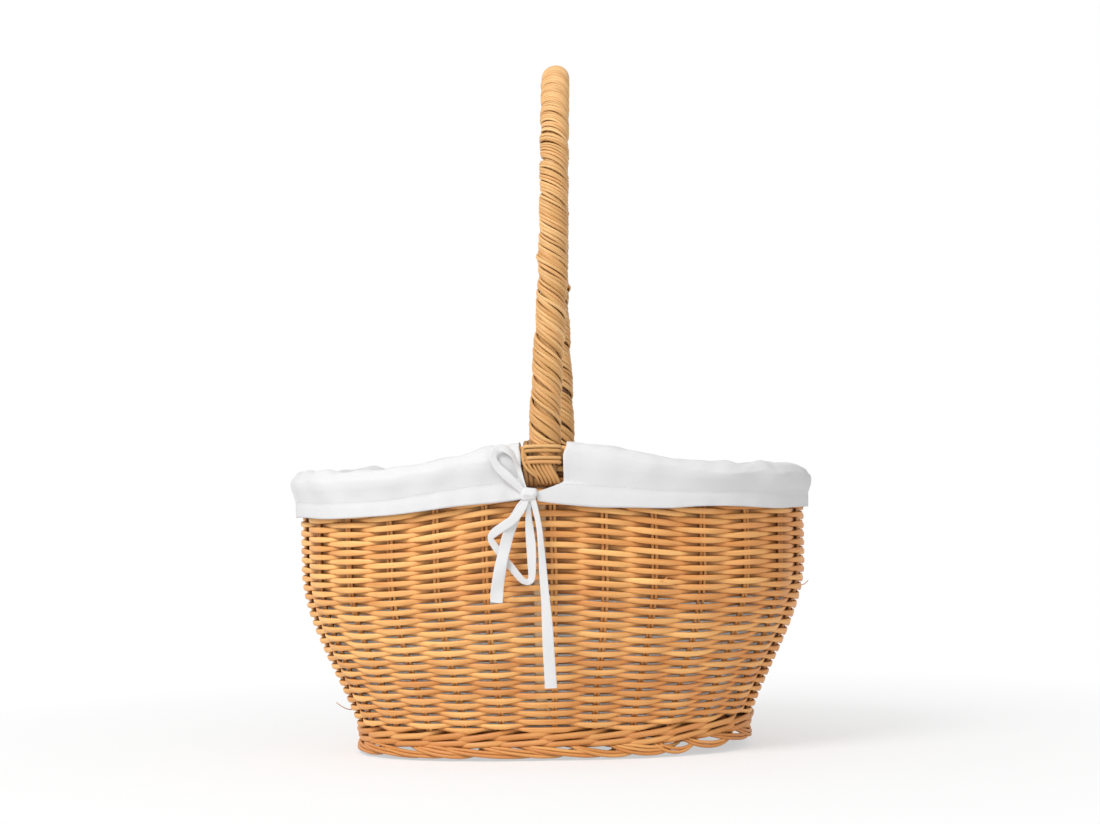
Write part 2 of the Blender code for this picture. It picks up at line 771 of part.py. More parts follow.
def main():
    clear_scene()
    cane = make_material("cane", CANE_COLOUR_SHARES, CANE_ROUGHNESS_SHARE)
    core = make_material("handle_rod", CORE_COLOUR_SHARES, CORE_ROUGHNESS_SHARE)
    cotton = make_material("cotton", COTTON_COLOUR_SHARES, COTTON_ROUGHNESS_SHARE)
    build_basket(make_empty("basket"), cane, core)
    build_liner(make_empty("liner"), cotton)


main()
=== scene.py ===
"""Looks of an oval rattan foraging basket with a wrapped arch handle and a cotton liner tied with bows.

Metres, +Z up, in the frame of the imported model. The long side runs along X and the front is at -Y.
"""

import json
import math

import bmesh
import bpy
import numpy as np
from bpy.props import FloatProperty, FloatVectorProperty, IntProperty, PointerProperty
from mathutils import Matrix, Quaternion, Vector

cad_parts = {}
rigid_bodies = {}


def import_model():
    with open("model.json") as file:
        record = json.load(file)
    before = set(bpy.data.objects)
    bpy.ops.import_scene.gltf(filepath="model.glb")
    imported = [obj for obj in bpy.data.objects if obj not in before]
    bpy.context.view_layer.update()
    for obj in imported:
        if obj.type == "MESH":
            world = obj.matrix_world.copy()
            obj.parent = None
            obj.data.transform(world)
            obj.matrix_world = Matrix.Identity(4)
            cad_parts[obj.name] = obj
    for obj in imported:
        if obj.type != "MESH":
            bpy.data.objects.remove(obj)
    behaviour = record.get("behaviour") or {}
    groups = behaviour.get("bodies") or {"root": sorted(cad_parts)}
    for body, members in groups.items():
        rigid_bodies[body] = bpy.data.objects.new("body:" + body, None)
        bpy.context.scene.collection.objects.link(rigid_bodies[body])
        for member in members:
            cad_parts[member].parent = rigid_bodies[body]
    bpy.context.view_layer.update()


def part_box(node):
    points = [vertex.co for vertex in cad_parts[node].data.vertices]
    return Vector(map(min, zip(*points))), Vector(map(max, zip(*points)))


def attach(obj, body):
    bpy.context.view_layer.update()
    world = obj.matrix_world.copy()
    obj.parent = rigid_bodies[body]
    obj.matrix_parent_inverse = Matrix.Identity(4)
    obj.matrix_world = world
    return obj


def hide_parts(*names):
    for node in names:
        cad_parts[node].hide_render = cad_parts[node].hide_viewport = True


bl_info = {
    "name": "Foraging basket",
    "version": (1, 0, 0),
    "blender": (4, 5, 0),
    "location": "View3D > Sidebar > Basket",
    "description": "Weaves an oval foraging basket, sews its liner and lights it for a picture",
    "category": "Object",
}

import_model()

# Plan and profile of the wall, to the middle of its thickness
RIM_HALF_LENGTH = 0.176
RIM_HALF_WIDTH = 0.117
FOOT_HALF_LENGTH = 0.135
FOOT_HALF_WIDTH = 0.083
PLAN_POWER = 2.5
FOOT_HEIGHT = 0.0115
BELLY_HEIGHT = 0.132
PROFILE_POWER = 1.3
RIM_END_HEIGHT = 0.1987
RIM_SADDLE_RISE = 0.0172
SADDLE_HALF_LENGTH = 0.130
# The basket was worked a little askew: its low part stands to the left, and its foot is higher at the right
LOW_SHIFT = 0.0020
LOW_SHIFT_TOP = 0.150
RIGHT_FOOT_RISE = 0.005

# Stations of the stakes
GAPS_PER_QUARTER = 7
HANDLE_GAP_SHARE = 1.2
HANDLE_STAKE_SHIFT = 0.0058
STAKE_SPREAD = 0.56
STAKE_SWAY = 0.0003
STAKE_TOP_GAP = 0.001

# Woven wall
WALL_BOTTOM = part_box("wall_weave_1")[0].z
BANDS = 7
ROWS = 54
POINTS_PER_GAP = 12
WAVE_REACH = 0.0026
ROW_SPREAD_SHARE = 0.06
LOWEST_ROW = 0.0202
SADDLE_POWER = 1.6
WAVE_POWER = 1.05
HANDLE_FLAT = 0.0105
# Fibres that stand off the wall, by band: distance round the rim, height, and how far they reach out and up
STRAY_ENDS = {
    0: [(0.497, 0.0310, 0.0090, 0.0090), (0.72, 0.040, 0.003, -0.003)],
    2: [(0.64, 0.082, 0.003, 0.002)],
    3: [(0.955, 0.113, 0.0045, 0.0035)],
    4: [(0.80, 0.122, 0.003, 0.003)],
}
STATION_FLAT = 0.0016
STRAY_HALF_WIDTH = 0.00035
STRAY_HALF_THICKNESS = 0.00025
STRAY_RUN = 0.006
STRAY_START = 0.0030

# Foot and base
WALE_LOW = 0.0121
WALE_STEP = 0.0052
WALE_REACH = 0.0034
WALE_HALF_WIDTH = 0.0022
WALE_HALF_THICKNESS = 0.0015
WALE_UNEVENNESS = 0.0004
BORDER_SAG = 0.0016
BORDER_LAYER_INSET = 0.0006
MAT_RINGS = 19
MAT_WAVE = 0.0012
MAT_HALF_THICKNESS = 0.0011
SPOKE_HALF_WIDTH = 0.0019
SPOKE_HALF_THICKNESS = 0.0008

# Rim, lashings and handle
HOOP_OFFSET = 0.0038
HOOP_THICKNESS = 0.004
HOOP_HEIGHT = 0.011
HOOP_REACH = 0.0058
HOOP_SINK = 0.0014
RIGHT_HOOP_SINK = 0.0034
RIM_AT_HANDLE = RIM_END_HEIGHT + RIM_SADDLE_RISE
LEG_BOTTOM = 0.2189
ARCH_RADIUS = RIM_HALF_WIDTH
ARCH_HEIGHT = 0.3612
HANDLE_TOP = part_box("handle_wrap")[1].z
LEG_LENGTH = ARCH_HEIGHT - LEG_BOTTOM
HANDLE_LENGTH = 2 * LEG_LENGTH + math.pi * ARCH_RADIUS
HANDLE_SHIFT = 0.0018
HANDLE_LEAN = 0.0080
HANDLE_SKEW_SHARE = 0.04
SKEW_RISE = 0.130
CORE_RADIUS = 0.006
CORE_INSET = 0.006
TONGUE_HALF_WIDTH = 0.0042
TONGUE_HALF_THICKNESS = 0.0015
TONGUE_SLANT = 0.0055
TONGUE_SHIFT = 0.0015
LASH_TOP = 0.2180
LASH_MIDDLE = LASH_TOP - 0.015
WRAP_LOOPS = 23
WRAP_BASE_PITCH_SHARE = 1.9
WRAP_EVEN_SHARE = 0.42
POINTS_PER_LOOP = 30
WRAP_RADIUS = 0.0076
WRAP_HALF_THICKNESS = 0.0011
SLEEVE_RADIUS = 0.0073
SLEEVE_INSET = 0.001
BUNDLE_CROWN = 0.0011
BUNDLE_TILT = 0.0009
STRAND_UNEVENNESS = 0.0002
STRAND_LIFT = 0.0016
STRAND_LEAST_HALF = 0.0004
FOOT_SWELL = 0.0013
# Loops where a strand of the bundle stands up, by strand
LIFTED_STRANDS = {2: (6.52,), 5: (3.2, 15.4), 7: (9.4, 19.7)}
# Loose fibre ends: how far along the handle, their turn round it, and how far they stand out
LOOSE_FIBRES = [(0.068, 4.4, 0.005), (0.585, 1.3, 0.006), (0.12, 2.2, 0.004), (0.5, 4.0, 0.005)]
FIBRE_START = 0.008
FIBRE_HALF_WIDTH = 0.00028
FIBRE_HALF_THICKNESS = 0.00022

# Liner
CLOTH_THICKNESS = 0.0009
CLOTH_GAP = 0.0005
HEM_END_HEIGHT = 0.168
HEM_RISE = 0.007
NOTCH_HALF = 0.014
# Where each cuff's top is bunched up or drawn down: the distance round the rim, how much, and how broadly
TOP_BUNCHES = {
    "cuff_left": [
        (0.39, 0.0030, 0.014),
        (0.558, 0.0010, 0.008),
        (0.574, -0.0012, 0.007),
        (0.66, -0.0015, 0.030),
    ],
    "cuff_right": [
        (0.8618, -0.0012, 0.006),
        (0.8766, 0.0018, 0.007),
        (0.8905, -0.0012, 0.007),
        (0.9665, -0.0046, 0.056),
    ],
}
# Where each cuff's hem is drawn up or hangs lower, in the same way
HEM_PULLS = {"cuff_left": [], "cuff_right": [(0.765, -0.0014, 0.025), (0.845, 0.0032, 0.030)]}
# How much further out the cuff stands at the basket's right end, by row of its profile
RIGHT_END_BULGE = {6: -0.0008, 7: -0.0010, 8: 0.0002, 9: 0.0013, 10: 0.0007}
BAG_FLOOR = 0.0213
BAG_CORNER = 0.0052
BAG_TOP_DROP = 0.0163
BAG_SAG = 0.0011
BAG_FLOOR_CREASE = 0.0004
# How much nearer the weave the bag lies in its low part, and the heights between which that fades out
BAG_CLOSER = 0.0017
BAG_CLOSER_FADE = (0.130, 0.146)
# How much further in the liner lies at the handle, and over what distance round the rim that fades out
HANDLE_PULL = 0.0062
PULL_FADE = 0.022
# How far along X the cuffs' inner edges move at the notches, and over what distance that fades out
NOTCH_WIDER = {"cuff_left": -0.0012, "cuff_right": 0.0024}
NOTCH_FADE = 0.009
# How much higher each cuff's hem is drawn towards the notches
HEM_LIFT = {"cuff_left": 0.0035, "cuff_right": 0.0}
HEM_FOLD = 0.0008
HEM_UNEVENNESS = 0.0004
RIM_UNEVENNESS = 0.0003
CUFF_OVER_HOOP = 0.0006
CREASES = 16
CREASE_DEPTH = 0.0008
# Points of the cuff's profile inside the rim, on its top, and where its top is bunched up
INSIDE_POINTS = range(0, 3)
TOP_POINTS = range(3, 6)
BUNCHED_POINTS = range(3, 8)
# How far the knot draws each end of a cuff's hem, and where that end lies past the knot's middle
LONG_END = (0.0075, -0.0052)
SHORT_END = (0.004, 0.0036)
CORNER_INSET = 0.0006
CORNER_DROP = 0.001
# How far down the cuff's stitches run, as a share of its length, and how far they stand off it
STITCH_SHARE = 0.82
STITCH_LIFT = 0.0001
KNOT_SHIFT = 0.009
KNOT_DEPTH = 0.1303
KNOT_HEIGHT = 0.182
KNOT_HALF_LENGTH = 0.0058
KNOT_HALF_HEIGHT = 0.0047
KNOT_FRONT = 0.0034
KNOT_BACK = 0.0026
KNOT_SLANT = 0.0006
TAPE_HALF_THICKNESS = 0.0004

# Steps of the tables of lengths, and the seed of every random draw
FINE_STEPS = 4000
SEED = 7

# Stage
FLOOR_HALF = 6.0
LAMPS_LOOK_AT = Vector((0, 0, 0.2))


# Formulas of the wall


def eased(value, low, high):
    """0 below low, 1 above high, and a smooth rise between them."""
    share = np.clip((value - low) / (high - low), 0, 1)
    return share * share * (3 - 2 * share)


def unit(vectors):
    """The vectors at length 1."""
    return vectors / np.linalg.norm(vectors, axis=-1, keepdims=True)


def distances_along(points):
    """How far along the line of points each of them lies."""
    steps = np.linalg.norm(np.diff(points, axis=0), axis=1)
    return np.concatenate([[0], np.cumsum(steps)])


def oval(turn, half_length, half_width):
    """Points of the oval plan, one row for each turn."""
    across, along = np.cos(turn), np.sin(turn)
    power = 2 / PLAN_POWER
    x = half_length * np.sign(across) * np.abs(across) ** power
    y = half_width * np.sign(along) * np.abs(along) ** power
    return np.stack(np.broadcast_arrays(x, y), axis=-1)


def oval_normal(turn, half_length, half_width):
    """The directions straight out of the oval plan, one row for each turn."""
    across, along = np.cos(turn), np.sin(turn)
    power = 2 * (PLAN_POWER - 1) / PLAN_POWER
    x = np.sign(across) * np.abs(across) ** power / half_length
    y = np.sign(along) * np.abs(along) ** power / half_width
    return unit(np.stack(np.broadcast_arrays(x, y), axis=-1))


def half_sizes(height):
    """Half the wall's length and width at a height."""
    rise = np.clip((height - FOOT_HEIGHT) / (BELLY_HEIGHT - FOOT_HEIGHT), 0, 1)
    share = np.sin(math.pi / 2 * rise**PROFILE_POWER)
    half_length = FOOT_HALF_LENGTH + (RIM_HALF_LENGTH - FOOT_HALF_LENGTH) * share
    half_width = FOOT_HALF_WIDTH + (RIM_HALF_WIDTH - FOOT_HALF_WIDTH) * share
    return half_length, half_width


def wall(turn, height, offset=0.0):
    """Points at these turns and heights, this far outside the middle of the wall."""
    turn, height, offset = np.broadcast_arrays(turn, height, offset)
    sizes = half_sizes(height)
    plan = oval(turn, *sizes) + offset[..., None] * oval_normal(turn, *sizes)
    shift = LOW_SHIFT * (1 - eased(height, 0, LOW_SHIFT_TOP))
    return np.stack([plan[..., 0] - shift, plan[..., 1], height], axis=-1)


def wall_facing(turn, height):
    """The direction straight out of the wall's surface, which looks a little down low on the basket."""
    step = 0.001
    up = unit(wall(turn, height + step) - wall(turn, height - step))
    plan = oval_normal(turn, *half_sizes(height))
    out = np.concatenate([plan, np.zeros(plan.shape[:-1] + (1,))], axis=-1)
    return unit(out - up * np.sum(out * up, axis=-1, keepdims=True))


def on_wall(turn, height, reach):
    """Points this far out from the wall's middle, square to its slope."""
    turn, height, reach = np.broadcast_arrays(turn, height, reach)
    return wall(turn, height) + wall_facing(turn, height) * reach[..., None]


def saddle_share(turn):
    """How far the rim has risen from its ends, 0, to the middle of its long sides, 1."""
    across = oval(turn, RIM_HALF_LENGTH, RIM_HALF_WIDTH)[..., 0] / SADDLE_HALF_LENGTH
    return np.cos(math.pi / 2 * np.minimum(np.abs(across), 1)) ** 2


def rim_top(turn):
    """The height of the rim's line at a turn."""
    return RIM_END_HEIGHT + RIM_SADDLE_RISE * saddle_share(turn)


def wall_level(turn, share):
    """The height that is this share of the way up the woven wall, whose low rows lie level."""
    level = share * (RIM_END_HEIGHT - HOOP_HEIGHT - LOWEST_ROW)
    low = (1 - share) ** 3 * foot_rise(turn)
    return LOWEST_ROW + level + low + share**SADDLE_POWER * RIM_SADDLE_RISE * saddle_share(turn)


def end_share(turn):
    """How far along the basket's half length a turn lies, from -1 at the left end to 1 at the right one."""
    return oval(turn, RIM_HALF_LENGTH, RIM_HALF_WIDTH)[..., 0] / RIM_HALF_LENGTH


def foot_rise(turn):
    """How much higher the foot stands at the basket's right end."""
    return RIGHT_FOOT_RISE * eased(end_share(turn), 0.45, 0.97)


def hoop_sink(turn):
    """How far the hoops' tops lie under the rim's line, more at the right end, where the cuff hangs lower."""
    return HOOP_SINK + RIGHT_HOOP_SINK * eased(end_share(turn), 0.80, 0.97)


def rim_table():
    """Turns of the oval's formula, and the distance round the rim at each."""
    turns = np.linspace(0, 2 * math.pi, FINE_STEPS + 1)
    return turns, distances_along(oval(turns, RIM_HALF_LENGTH, RIM_HALF_WIDTH))


RIM_TURNS, RIM_DISTANCES = rim_table()
RIM_PERIMETER = RIM_DISTANCES[-1]


def turn_at(distance):
    """The turn of the oval's formula at a distance round the rim from its +X end."""
    return np.interp(np.asarray(distance) % RIM_PERIMETER, RIM_DISTANCES, RIM_TURNS)


def station_distances():
    """The distance round the rim of each stake, with a wider gap on both sides of the handle."""
    quarter = RIM_PERIMETER / 4
    step = quarter / (GAPS_PER_QUARTER - 1 + HANDLE_GAP_SHARE)
    side = [i * step for i in range(GAPS_PER_QUARTER)]
    half = side + [2 * quarter - distance for distance in reversed(side[1:])]
    half.insert(GAPS_PER_QUARTER, quarter)
    return half + [2 * quarter + distance for distance in half]


STATIONS = station_distances()
STATION_COUNT = len(STATIONS)
REAR_STATION = GAPS_PER_QUARTER
FRONT_STATION = 3 * GAPS_PER_QUARTER


def distance_of(place):
    """The distance round the rim of a place counted in stations, which may be a fraction or past the last."""
    place = np.asarray(place, float)
    lap = np.floor(place / STATION_COUNT)
    known = STATIONS + [RIM_PERIMETER]
    return lap * RIM_PERIMETER + np.interp(place - lap * STATION_COUNT, range(STATION_COUNT + 1), known)


def ripple(rng, along, length, waves, size):
    """A smooth random ripple that closes on itself over this length."""
    total = np.zeros(np.shape(along))
    for wave in waves:
        height = rng.normal()
        total = total + height * np.cos(2 * math.pi * wave * along / length + rng.uniform(0, 2 * math.pi))
    return size * total / math.sqrt(len(waves))


def smooth_route(points, count):
    """A smooth curve through the rows of points, sampled evenly in this many places."""
    known = np.concatenate([2 * points[:1] - points[1:2], points, 2 * points[-1:] - points[-2:-1]])
    pieces = len(points) - 1
    at = np.linspace(0, pieces, 40 * pieces + 1)
    far = distances_along(spline_at(known, at)[:, :3])
    return spline_at(known, np.interp(np.linspace(0, far[-1], count), far, at))


def spline_at(known, at):
    """Places on the smooth curve through the known rows, counted in rows from the second."""
    first = np.minimum(at.astype(int), len(known) - 4)
    t = (at - first)[:, None]
    a, b, c, d = (known[first + i] for i in range(4))
    return b + 0.5 * t * (c - a + t * (2 * a - 5 * b + 4 * c - d + t * (3 * (b - c) + d - a)))


# Objects and node trees


def linked(name, data):
    """A new object with this data, in the scene."""
    made = bpy.data.objects.new(name, data)
    bpy.context.scene.collection.objects.link(made)
    return made


def join(tree, value, socket):
    """Links another node's output to the socket, or sets the socket's own value."""
    if isinstance(value, bpy.types.NodeSocket):
        tree.links.new(value, socket)
    else:
        socket.default_value = value


def put(tree, kind, inputs=None, **settings):
    """Adds a node with these settings and inputs, which are named or counted from 0."""
    made = tree.nodes.new(kind)
    for name, value in settings.items():
        setattr(made, name, value)
    for name, value in (inputs or {}).items():
        join(tree, value, made.inputs[name])
    return made


def maths(tree, operation, *values, clamp=False):
    """The output of a Math node, whose values are numbers or other nodes' outputs."""
    made = put(tree, "ShaderNodeMath", dict(enumerate(values)), operation=operation, use_clamp=clamp)
    return made.outputs[0]


def vectors(tree, operation, *values):
    """The output of a Vector Math node."""
    made = put(tree, "ShaderNodeVectorMath", dict(enumerate(values)), operation=operation)
    return made.outputs["Value" if operation == "LENGTH" else "Vector"]


def scaled(tree, vector, factor):
    """A vector times a number."""
    made = put(tree, "ShaderNodeVectorMath", {0: vector, "Scale": factor}, operation="SCALE")
    return made.outputs["Vector"]


def new_tree(name, kind, inputs, outputs):
    """A node group with these named sockets, and its input and output nodes."""
    tree = bpy.data.node_groups.new(name, kind)
    for label, socket_type, default in inputs:
        socket = tree.interface.new_socket(label, in_out="INPUT", socket_type=socket_type)
        if default is not None:
            socket.default_value = default
    for label, socket_type in outputs:
        tree.interface.new_socket(label, in_out="OUTPUT", socket_type=socket_type)
    return tree, tree.nodes.new("NodeGroupInput").outputs, tree.nodes.new("NodeGroupOutput").inputs


def named(tree, name, data_type="FLOAT"):
    """A named attribute of the mesh, in a Geometry Nodes tree."""
    made = put(tree, "GeometryNodeInputNamedAttribute", {"Name": name}, data_type=data_type)
    return made.outputs["Attribute"]


def captured(tree, geometry, **fields):
    """The geometry with these vector fields kept on its points, and their outputs."""
    made = put(tree, "GeometryNodeCaptureAttribute", {"Geometry": geometry}, domain="POINT")
    for name, field in fields.items():
        made.capture_items.new("VECTOR", name)
        join(tree, field, made.inputs[name])
    return made.outputs


def stored(tree, geometry, name, value, data_type="FLOAT"):
    """The geometry with this value kept on its points as a named attribute."""
    given = {"Geometry": geometry, "Name": name, "Value": value}
    made = put(tree, "GeometryNodeStoreNamedAttribute", given, data_type=data_type, domain="POINT")
    return made.outputs["Geometry"]


def finished(tree, geometry, material):
    """The geometry without instances, smoothed, and with its material."""
    real = put(tree, "GeometryNodeRealizeInstances", {"Geometry": geometry}).outputs["Geometry"]
    smooth = put(tree, "GeometryNodeSetShadeSmooth", {"Geometry": real}).outputs["Geometry"]
    coated = put(tree, "GeometryNodeSetMaterial", {"Geometry": smooth, "Material": material})
    return coated.outputs["Geometry"]


def cane_tree():
    """Sweeps a cane along each guide line, with its flat face looking as the line's points say, and keeps how
    much painted shade each point gets.
    """
    tree, given, result = new_tree(
        "cane",
        "GeometryNodeTree",
        [
            ("Guide lines", "NodeSocketGeometry", None),
            ("Sides", "NodeSocketInt", 8),
            ("Squareness", "NodeSocketFloat", 1.0),
            ("Unevenness", "NodeSocketFloat", 0.0),
            ("Seed", "NodeSocketFloat", 0.0),
            ("Material", "NodeSocketMaterial", None),
        ],
        [("Canes", "NodeSocketGeometry")],
    )
    lines = put(tree, "GeometryNodeMeshToCurve", {"Mesh": given["Guide lines"]}).outputs["Curve"]
    tangent = put(tree, "GeometryNodeInputTangent").outputs["Tangent"]
    looks = named(tree, "facing", "FLOAT_VECTOR")
    across = vectors(tree, "NORMALIZE", vectors(tree, "CROSS_PRODUCT", tangent, looks))
    facing = vectors(tree, "CROSS_PRODUCT", across, tangent)
    middle = put(tree, "GeometryNodeInputPosition").outputs["Position"]
    line = captured(tree, lines, middle=middle, facing=facing, across=across)

    circle = put(tree, "GeometryNodeCurvePrimitiveCircle", {"Resolution": given["Sides"], "Radius": 1.0})
    place = put(tree, "GeometryNodeInputPosition").outputs["Position"]
    section = captured(tree, circle.outputs["Curve"], section=place)
    curves = {"Curve": line["Geometry"], "Profile Curve": section["Geometry"], "Fill Caps": True}
    swept = put(tree, "GeometryNodeCurveToMesh", curves).outputs["Mesh"]

    split = put(tree, "ShaderNodeSeparateXYZ", {0: section["section"]}).outputs
    sides = []
    for value in (split["X"], split["Y"]):
        size = maths(tree, "POWER", maths(tree, "ABSOLUTE", value), given["Squareness"])
        sides.append(maths(tree, "MULTIPLY", maths(tree, "SIGN", value), size))
    strand = maths(tree, "MULTIPLY_ADD", named(tree, "strand"), 3.7, given["Seed"])
    cloud = {"Vector": line["middle"], "W": strand, "Scale": 55.0, "Detail": 2.0}
    noise = put(tree, "ShaderNodeTexNoise", cloud, noise_dimensions="4D").outputs["Color"]
    drift = put(tree, "ShaderNodeSeparateXYZ", {0: vectors(tree, "SUBTRACT", noise, (0.5, 0.5, 0.5))}).outputs
    swell = maths(tree, "MULTIPLY_ADD", maths(tree, "MULTIPLY", drift["X"], given["Unevenness"]), 2.0, 1.0)
    thin, wide = (
        maths(tree, "MULTIPLY", maths(tree, "MULTIPLY", named(tree, size), side), swell)
        for size, side in zip(("half_thickness", "half_width"), sides)
    )
    sway = maths(tree, "MULTIPLY", drift["Y"], given["Unevenness"])
    shift = maths(tree, "MULTIPLY", sway, named(tree, "half_width"))
    out = scaled(tree, line["facing"], maths(tree, "ADD", thin, shift))
    side = scaled(tree, line["across"], maths(tree, "SUBTRACT", wide, shift))
    position = vectors(tree, "ADD", line["middle"], vectors(tree, "ADD", out, side))

    grain = put(tree, "ShaderNodeCombineXYZ", {0: named(tree, "run"), 1: thin, 2: wide}).outputs["Vector"]
    # Painted shade: darker on the cane's sides and back, and more where its line lies deep in the weave, in
    # place of the shade that falls there
    shade_weight = maths(tree, "MULTIPLY_ADD", sides[0], -0.42, 0.42)
    shade_weight = maths(tree, "MULTIPLY_ADD", named(tree, "sunk_shade"), 0.75, shade_weight)
    kept = stored(tree, swept, "grain_at", grain, "FLOAT_VECTOR")
    kept = stored(tree, kept, "painted_shade", shade_weight)
    moved = put(tree, "GeometryNodeSetPosition", {"Geometry": kept, "Position": position}).outputs["Geometry"]
    join(tree, finished(tree, moved, given["Material"]), result["Canes"])
    return tree


GUIDE_FACTS = ("facing", "half_width", "half_thickness", "strand", "run", "sunk_shade")
# How thick a cut end is beside the rest, and how far along the grain each strand starts past the last
CUT_END_SHARE = 0.7
GRAIN_STEP = 1.37


class Guide:
    """Guide lines for canes: where each runs, how its flat face looks, how thick and light it is, and how
    much painted shade it gets where it lies deep in the weave.
    """

    def __init__(self):
        self.points, self.edges = [], []
        self.facts = {name: [] for name in (*GUIDE_FACTS, "tone")}
        self.count = 0

    def add(self, points, facing, half_width, half_thickness, tone=0.5, closed=False, cut=True, sunk_shade=0.0):
        """Adds a line, whose cut ends are a little thinner."""
        points = np.asarray(points, float)
        size = len(points)
        widths = np.broadcast_to(half_width, size).astype(float)
        heights = np.broadcast_to(half_thickness, size).astype(float)
        if cut and not closed:
            for values in (widths, heights):
                values[[0, -1]] *= CUT_END_SHARE
        first = len(self.points)
        self.points += list(points)
        self.edges += [(first + i, first + i + 1) for i in range(size - 1)]
        if closed:
            self.edges.append((first + size - 1, first))
        self.facts["facing"] += list(np.broadcast_to(facing, (size, 3)))
        self.facts["half_width"] += list(widths)
        self.facts["half_thickness"] += list(heights)
        self.facts["strand"] += [self.count] * size
        self.facts["run"] += list(distances_along(points) + GRAIN_STEP * self.count)
        self.facts["tone"] += list(np.broadcast_to(tone, size))
        self.facts["sunk_shade"] += list(np.broadcast_to(sunk_shade, size))
        self.count += 1

    def mesh(self, name):
        """The lines as a mesh of loose edges, with their facts as attributes."""
        mesh = bpy.data.meshes.new(name)
        mesh.from_pydata([tuple(point) for point in self.points], self.edges, [])
        for fact, values in self.facts.items():
            is_vector = fact == "facing"
            layer = mesh.attributes.new(fact, "FLOAT_VECTOR" if is_vector else "FLOAT", "POINT")
            key = "vector" if is_vector else "value"
            layer.data.foreach_set(key, np.asarray(values, np.float32).ravel())
        return mesh


def grown(name, guide, tree_name, tree_maker, values):
    """The plain mesh object that a node tree makes from the guide lines."""
    tree = bpy.data.node_groups.get(tree_name) or tree_maker()
    holder = linked(f"{name}_guide", guide.mesh(name))
    modifier = holder.modifiers.new("nodes", "NODES")
    modifier.node_group = tree
    for label, value in values.items():
        modifier[tree.interface.items_tree[label].identifier] = value
    mesh = bpy.data.meshes.new_from_object(holder.evaluated_get(bpy.context.evaluated_depsgraph_get()))
    holder.modifiers.remove(modifier)
    bpy.data.objects.remove(holder)
    for fact in GUIDE_FACTS:
        if fact in mesh.attributes:
            mesh.attributes.remove(mesh.attributes[fact])
    mesh.name = name
    return linked(name, mesh)


def weave_canes(name, guide, material, sides=8, squareness=1.0, unevenness=0.06):
    """The canes swept along the guide's lines, as one piece."""
    values = {
        "Sides": sides,
        "Squareness": squareness,
        "Unevenness": unevenness,
        "Seed": float(SEED),
        "Material": material,
    }
    return grown(name, guide, "cane", cane_tree, values)


def place_piece(obj, body, slot, *nodes):
    """Makes the piece ride on its body and stand for its nodes."""
    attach(obj, body)
    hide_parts(*nodes)
    return obj


def lay_canes(name, guide, material, *nodes, slot="cane", **more):
    """Sweeps the guide's canes as one piece of the basket, which stands for these nodes."""
    return place_piece(weave_canes(name, guide, material, **more), "basket", slot, *nodes)


# Materials


def attribute(tree, name, output):
    """An attribute of the piece's mesh, in a material."""
    return put(tree, "ShaderNodeAttribute", attribute_name=name).outputs[output]


def mixed(tree, share, first, second):
    """A colour that is this share of the way from the first to the second."""
    made = put(tree, "ShaderNodeMix", {"Factor": share, "A": first, "B": second}, data_type="RGBA")
    return made.outputs["Result"]


def fibre_and_shade_group():
    """Streaks, blotches and flecks of split cane, laid along the strand, and painted shade in the hollows
    between strands.
    """
    tree, given, result = new_tree(
        "cane fibre and shade",
        "ShaderNodeTree",
        [
            ("Grain at", "NodeSocketVector", None),
            ("Tone", "NodeSocketFloat", 0.5),
            ("Light", "NodeSocketColor", (0.8, 0.5, 0.2, 1)),
            ("Dark", "NodeSocketColor", (0.4, 0.2, 0.08, 1)),
            ("Warm", "NodeSocketColor", (0.80, 0.35, 0.12, 1)),
            # The dark brown of the painted shade
            ("Shade colour", "NodeSocketColor", (0.12, 0.04, 0.013, 1)),
            ("Contrast", "NodeSocketFloat", 1.0),
            ("Painted shade", "NodeSocketFloat", 0.0),
            ("Fineness", "NodeSocketFloat", 1.0),
        ],
        [
            ("Colour", "NodeSocketColor"),
            ("Roughness", "NodeSocketFloat"),
            ("Height", "NodeSocketFloat"),
        ],
    )
    grain = scaled(tree, given["Grain at"], given["Fineness"])

    def noise(stretch, detail):
        where = vectors(tree, "MULTIPLY", grain, stretch)
        made = put(tree, "ShaderNodeTexNoise", {"Vector": where, "Scale": 1.0, "Detail": detail})
        return maths(tree, "SUBTRACT", made.outputs["Fac"], 0.5)

    streak = noise((55, 1700, 1700), 2.0)
    blotch = noise((22, 160, 160), 2.0)
    fleck = noise((260, 900, 900), 2.0)
    wish = maths(tree, "MULTIPLY_ADD", streak, 0.9, given["Tone"])
    wish = maths(tree, "MULTIPLY_ADD", blotch, 1.5, wish)
    wish = maths(tree, "SUBTRACT", wish, 0.5)
    share = maths(tree, "MULTIPLY_ADD", wish, given["Contrast"], 0.5, clamp=True)
    colour = mixed(tree, share, given["Dark"], given["Light"])
    warmth = maths(tree, "MULTIPLY", maths(tree, "ADD", noise((9, 90, 90), 1.0), -0.02), 5.0, clamp=True)
    colour = mixed(tree, maths(tree, "MULTIPLY", warmth, 0.5), colour, given["Warm"])
    spots = maths(tree, "MULTIPLY", maths(tree, "SUBTRACT", fleck, 0.21), 3.0, clamp=True)
    colour = mixed(tree, spots, colour, given["Dark"])
    # Painted shade: the colour goes towards dark brown in the hollows between strands
    depth = maths(tree, "MULTIPLY", given["Painted shade"], given["Painted shade"], clamp=True)
    colour = mixed(tree, depth, colour, given["Shade colour"])
    join(tree, colour, result["Colour"])
    join(tree, maths(tree, "MULTIPLY_ADD", streak, 0.35, 0.5), result["Roughness"])
    join(tree, maths(tree, "MULTIPLY_ADD", blotch, 0.6, streak), result["Height"])
    return tree


def new_material(name):
    """A new material, its tree and its shader."""
    material = bpy.data.materials.new(name)
    material.use_nodes = True
    tree = material.node_tree
    return material, tree, tree.nodes["Principled BSDF"]


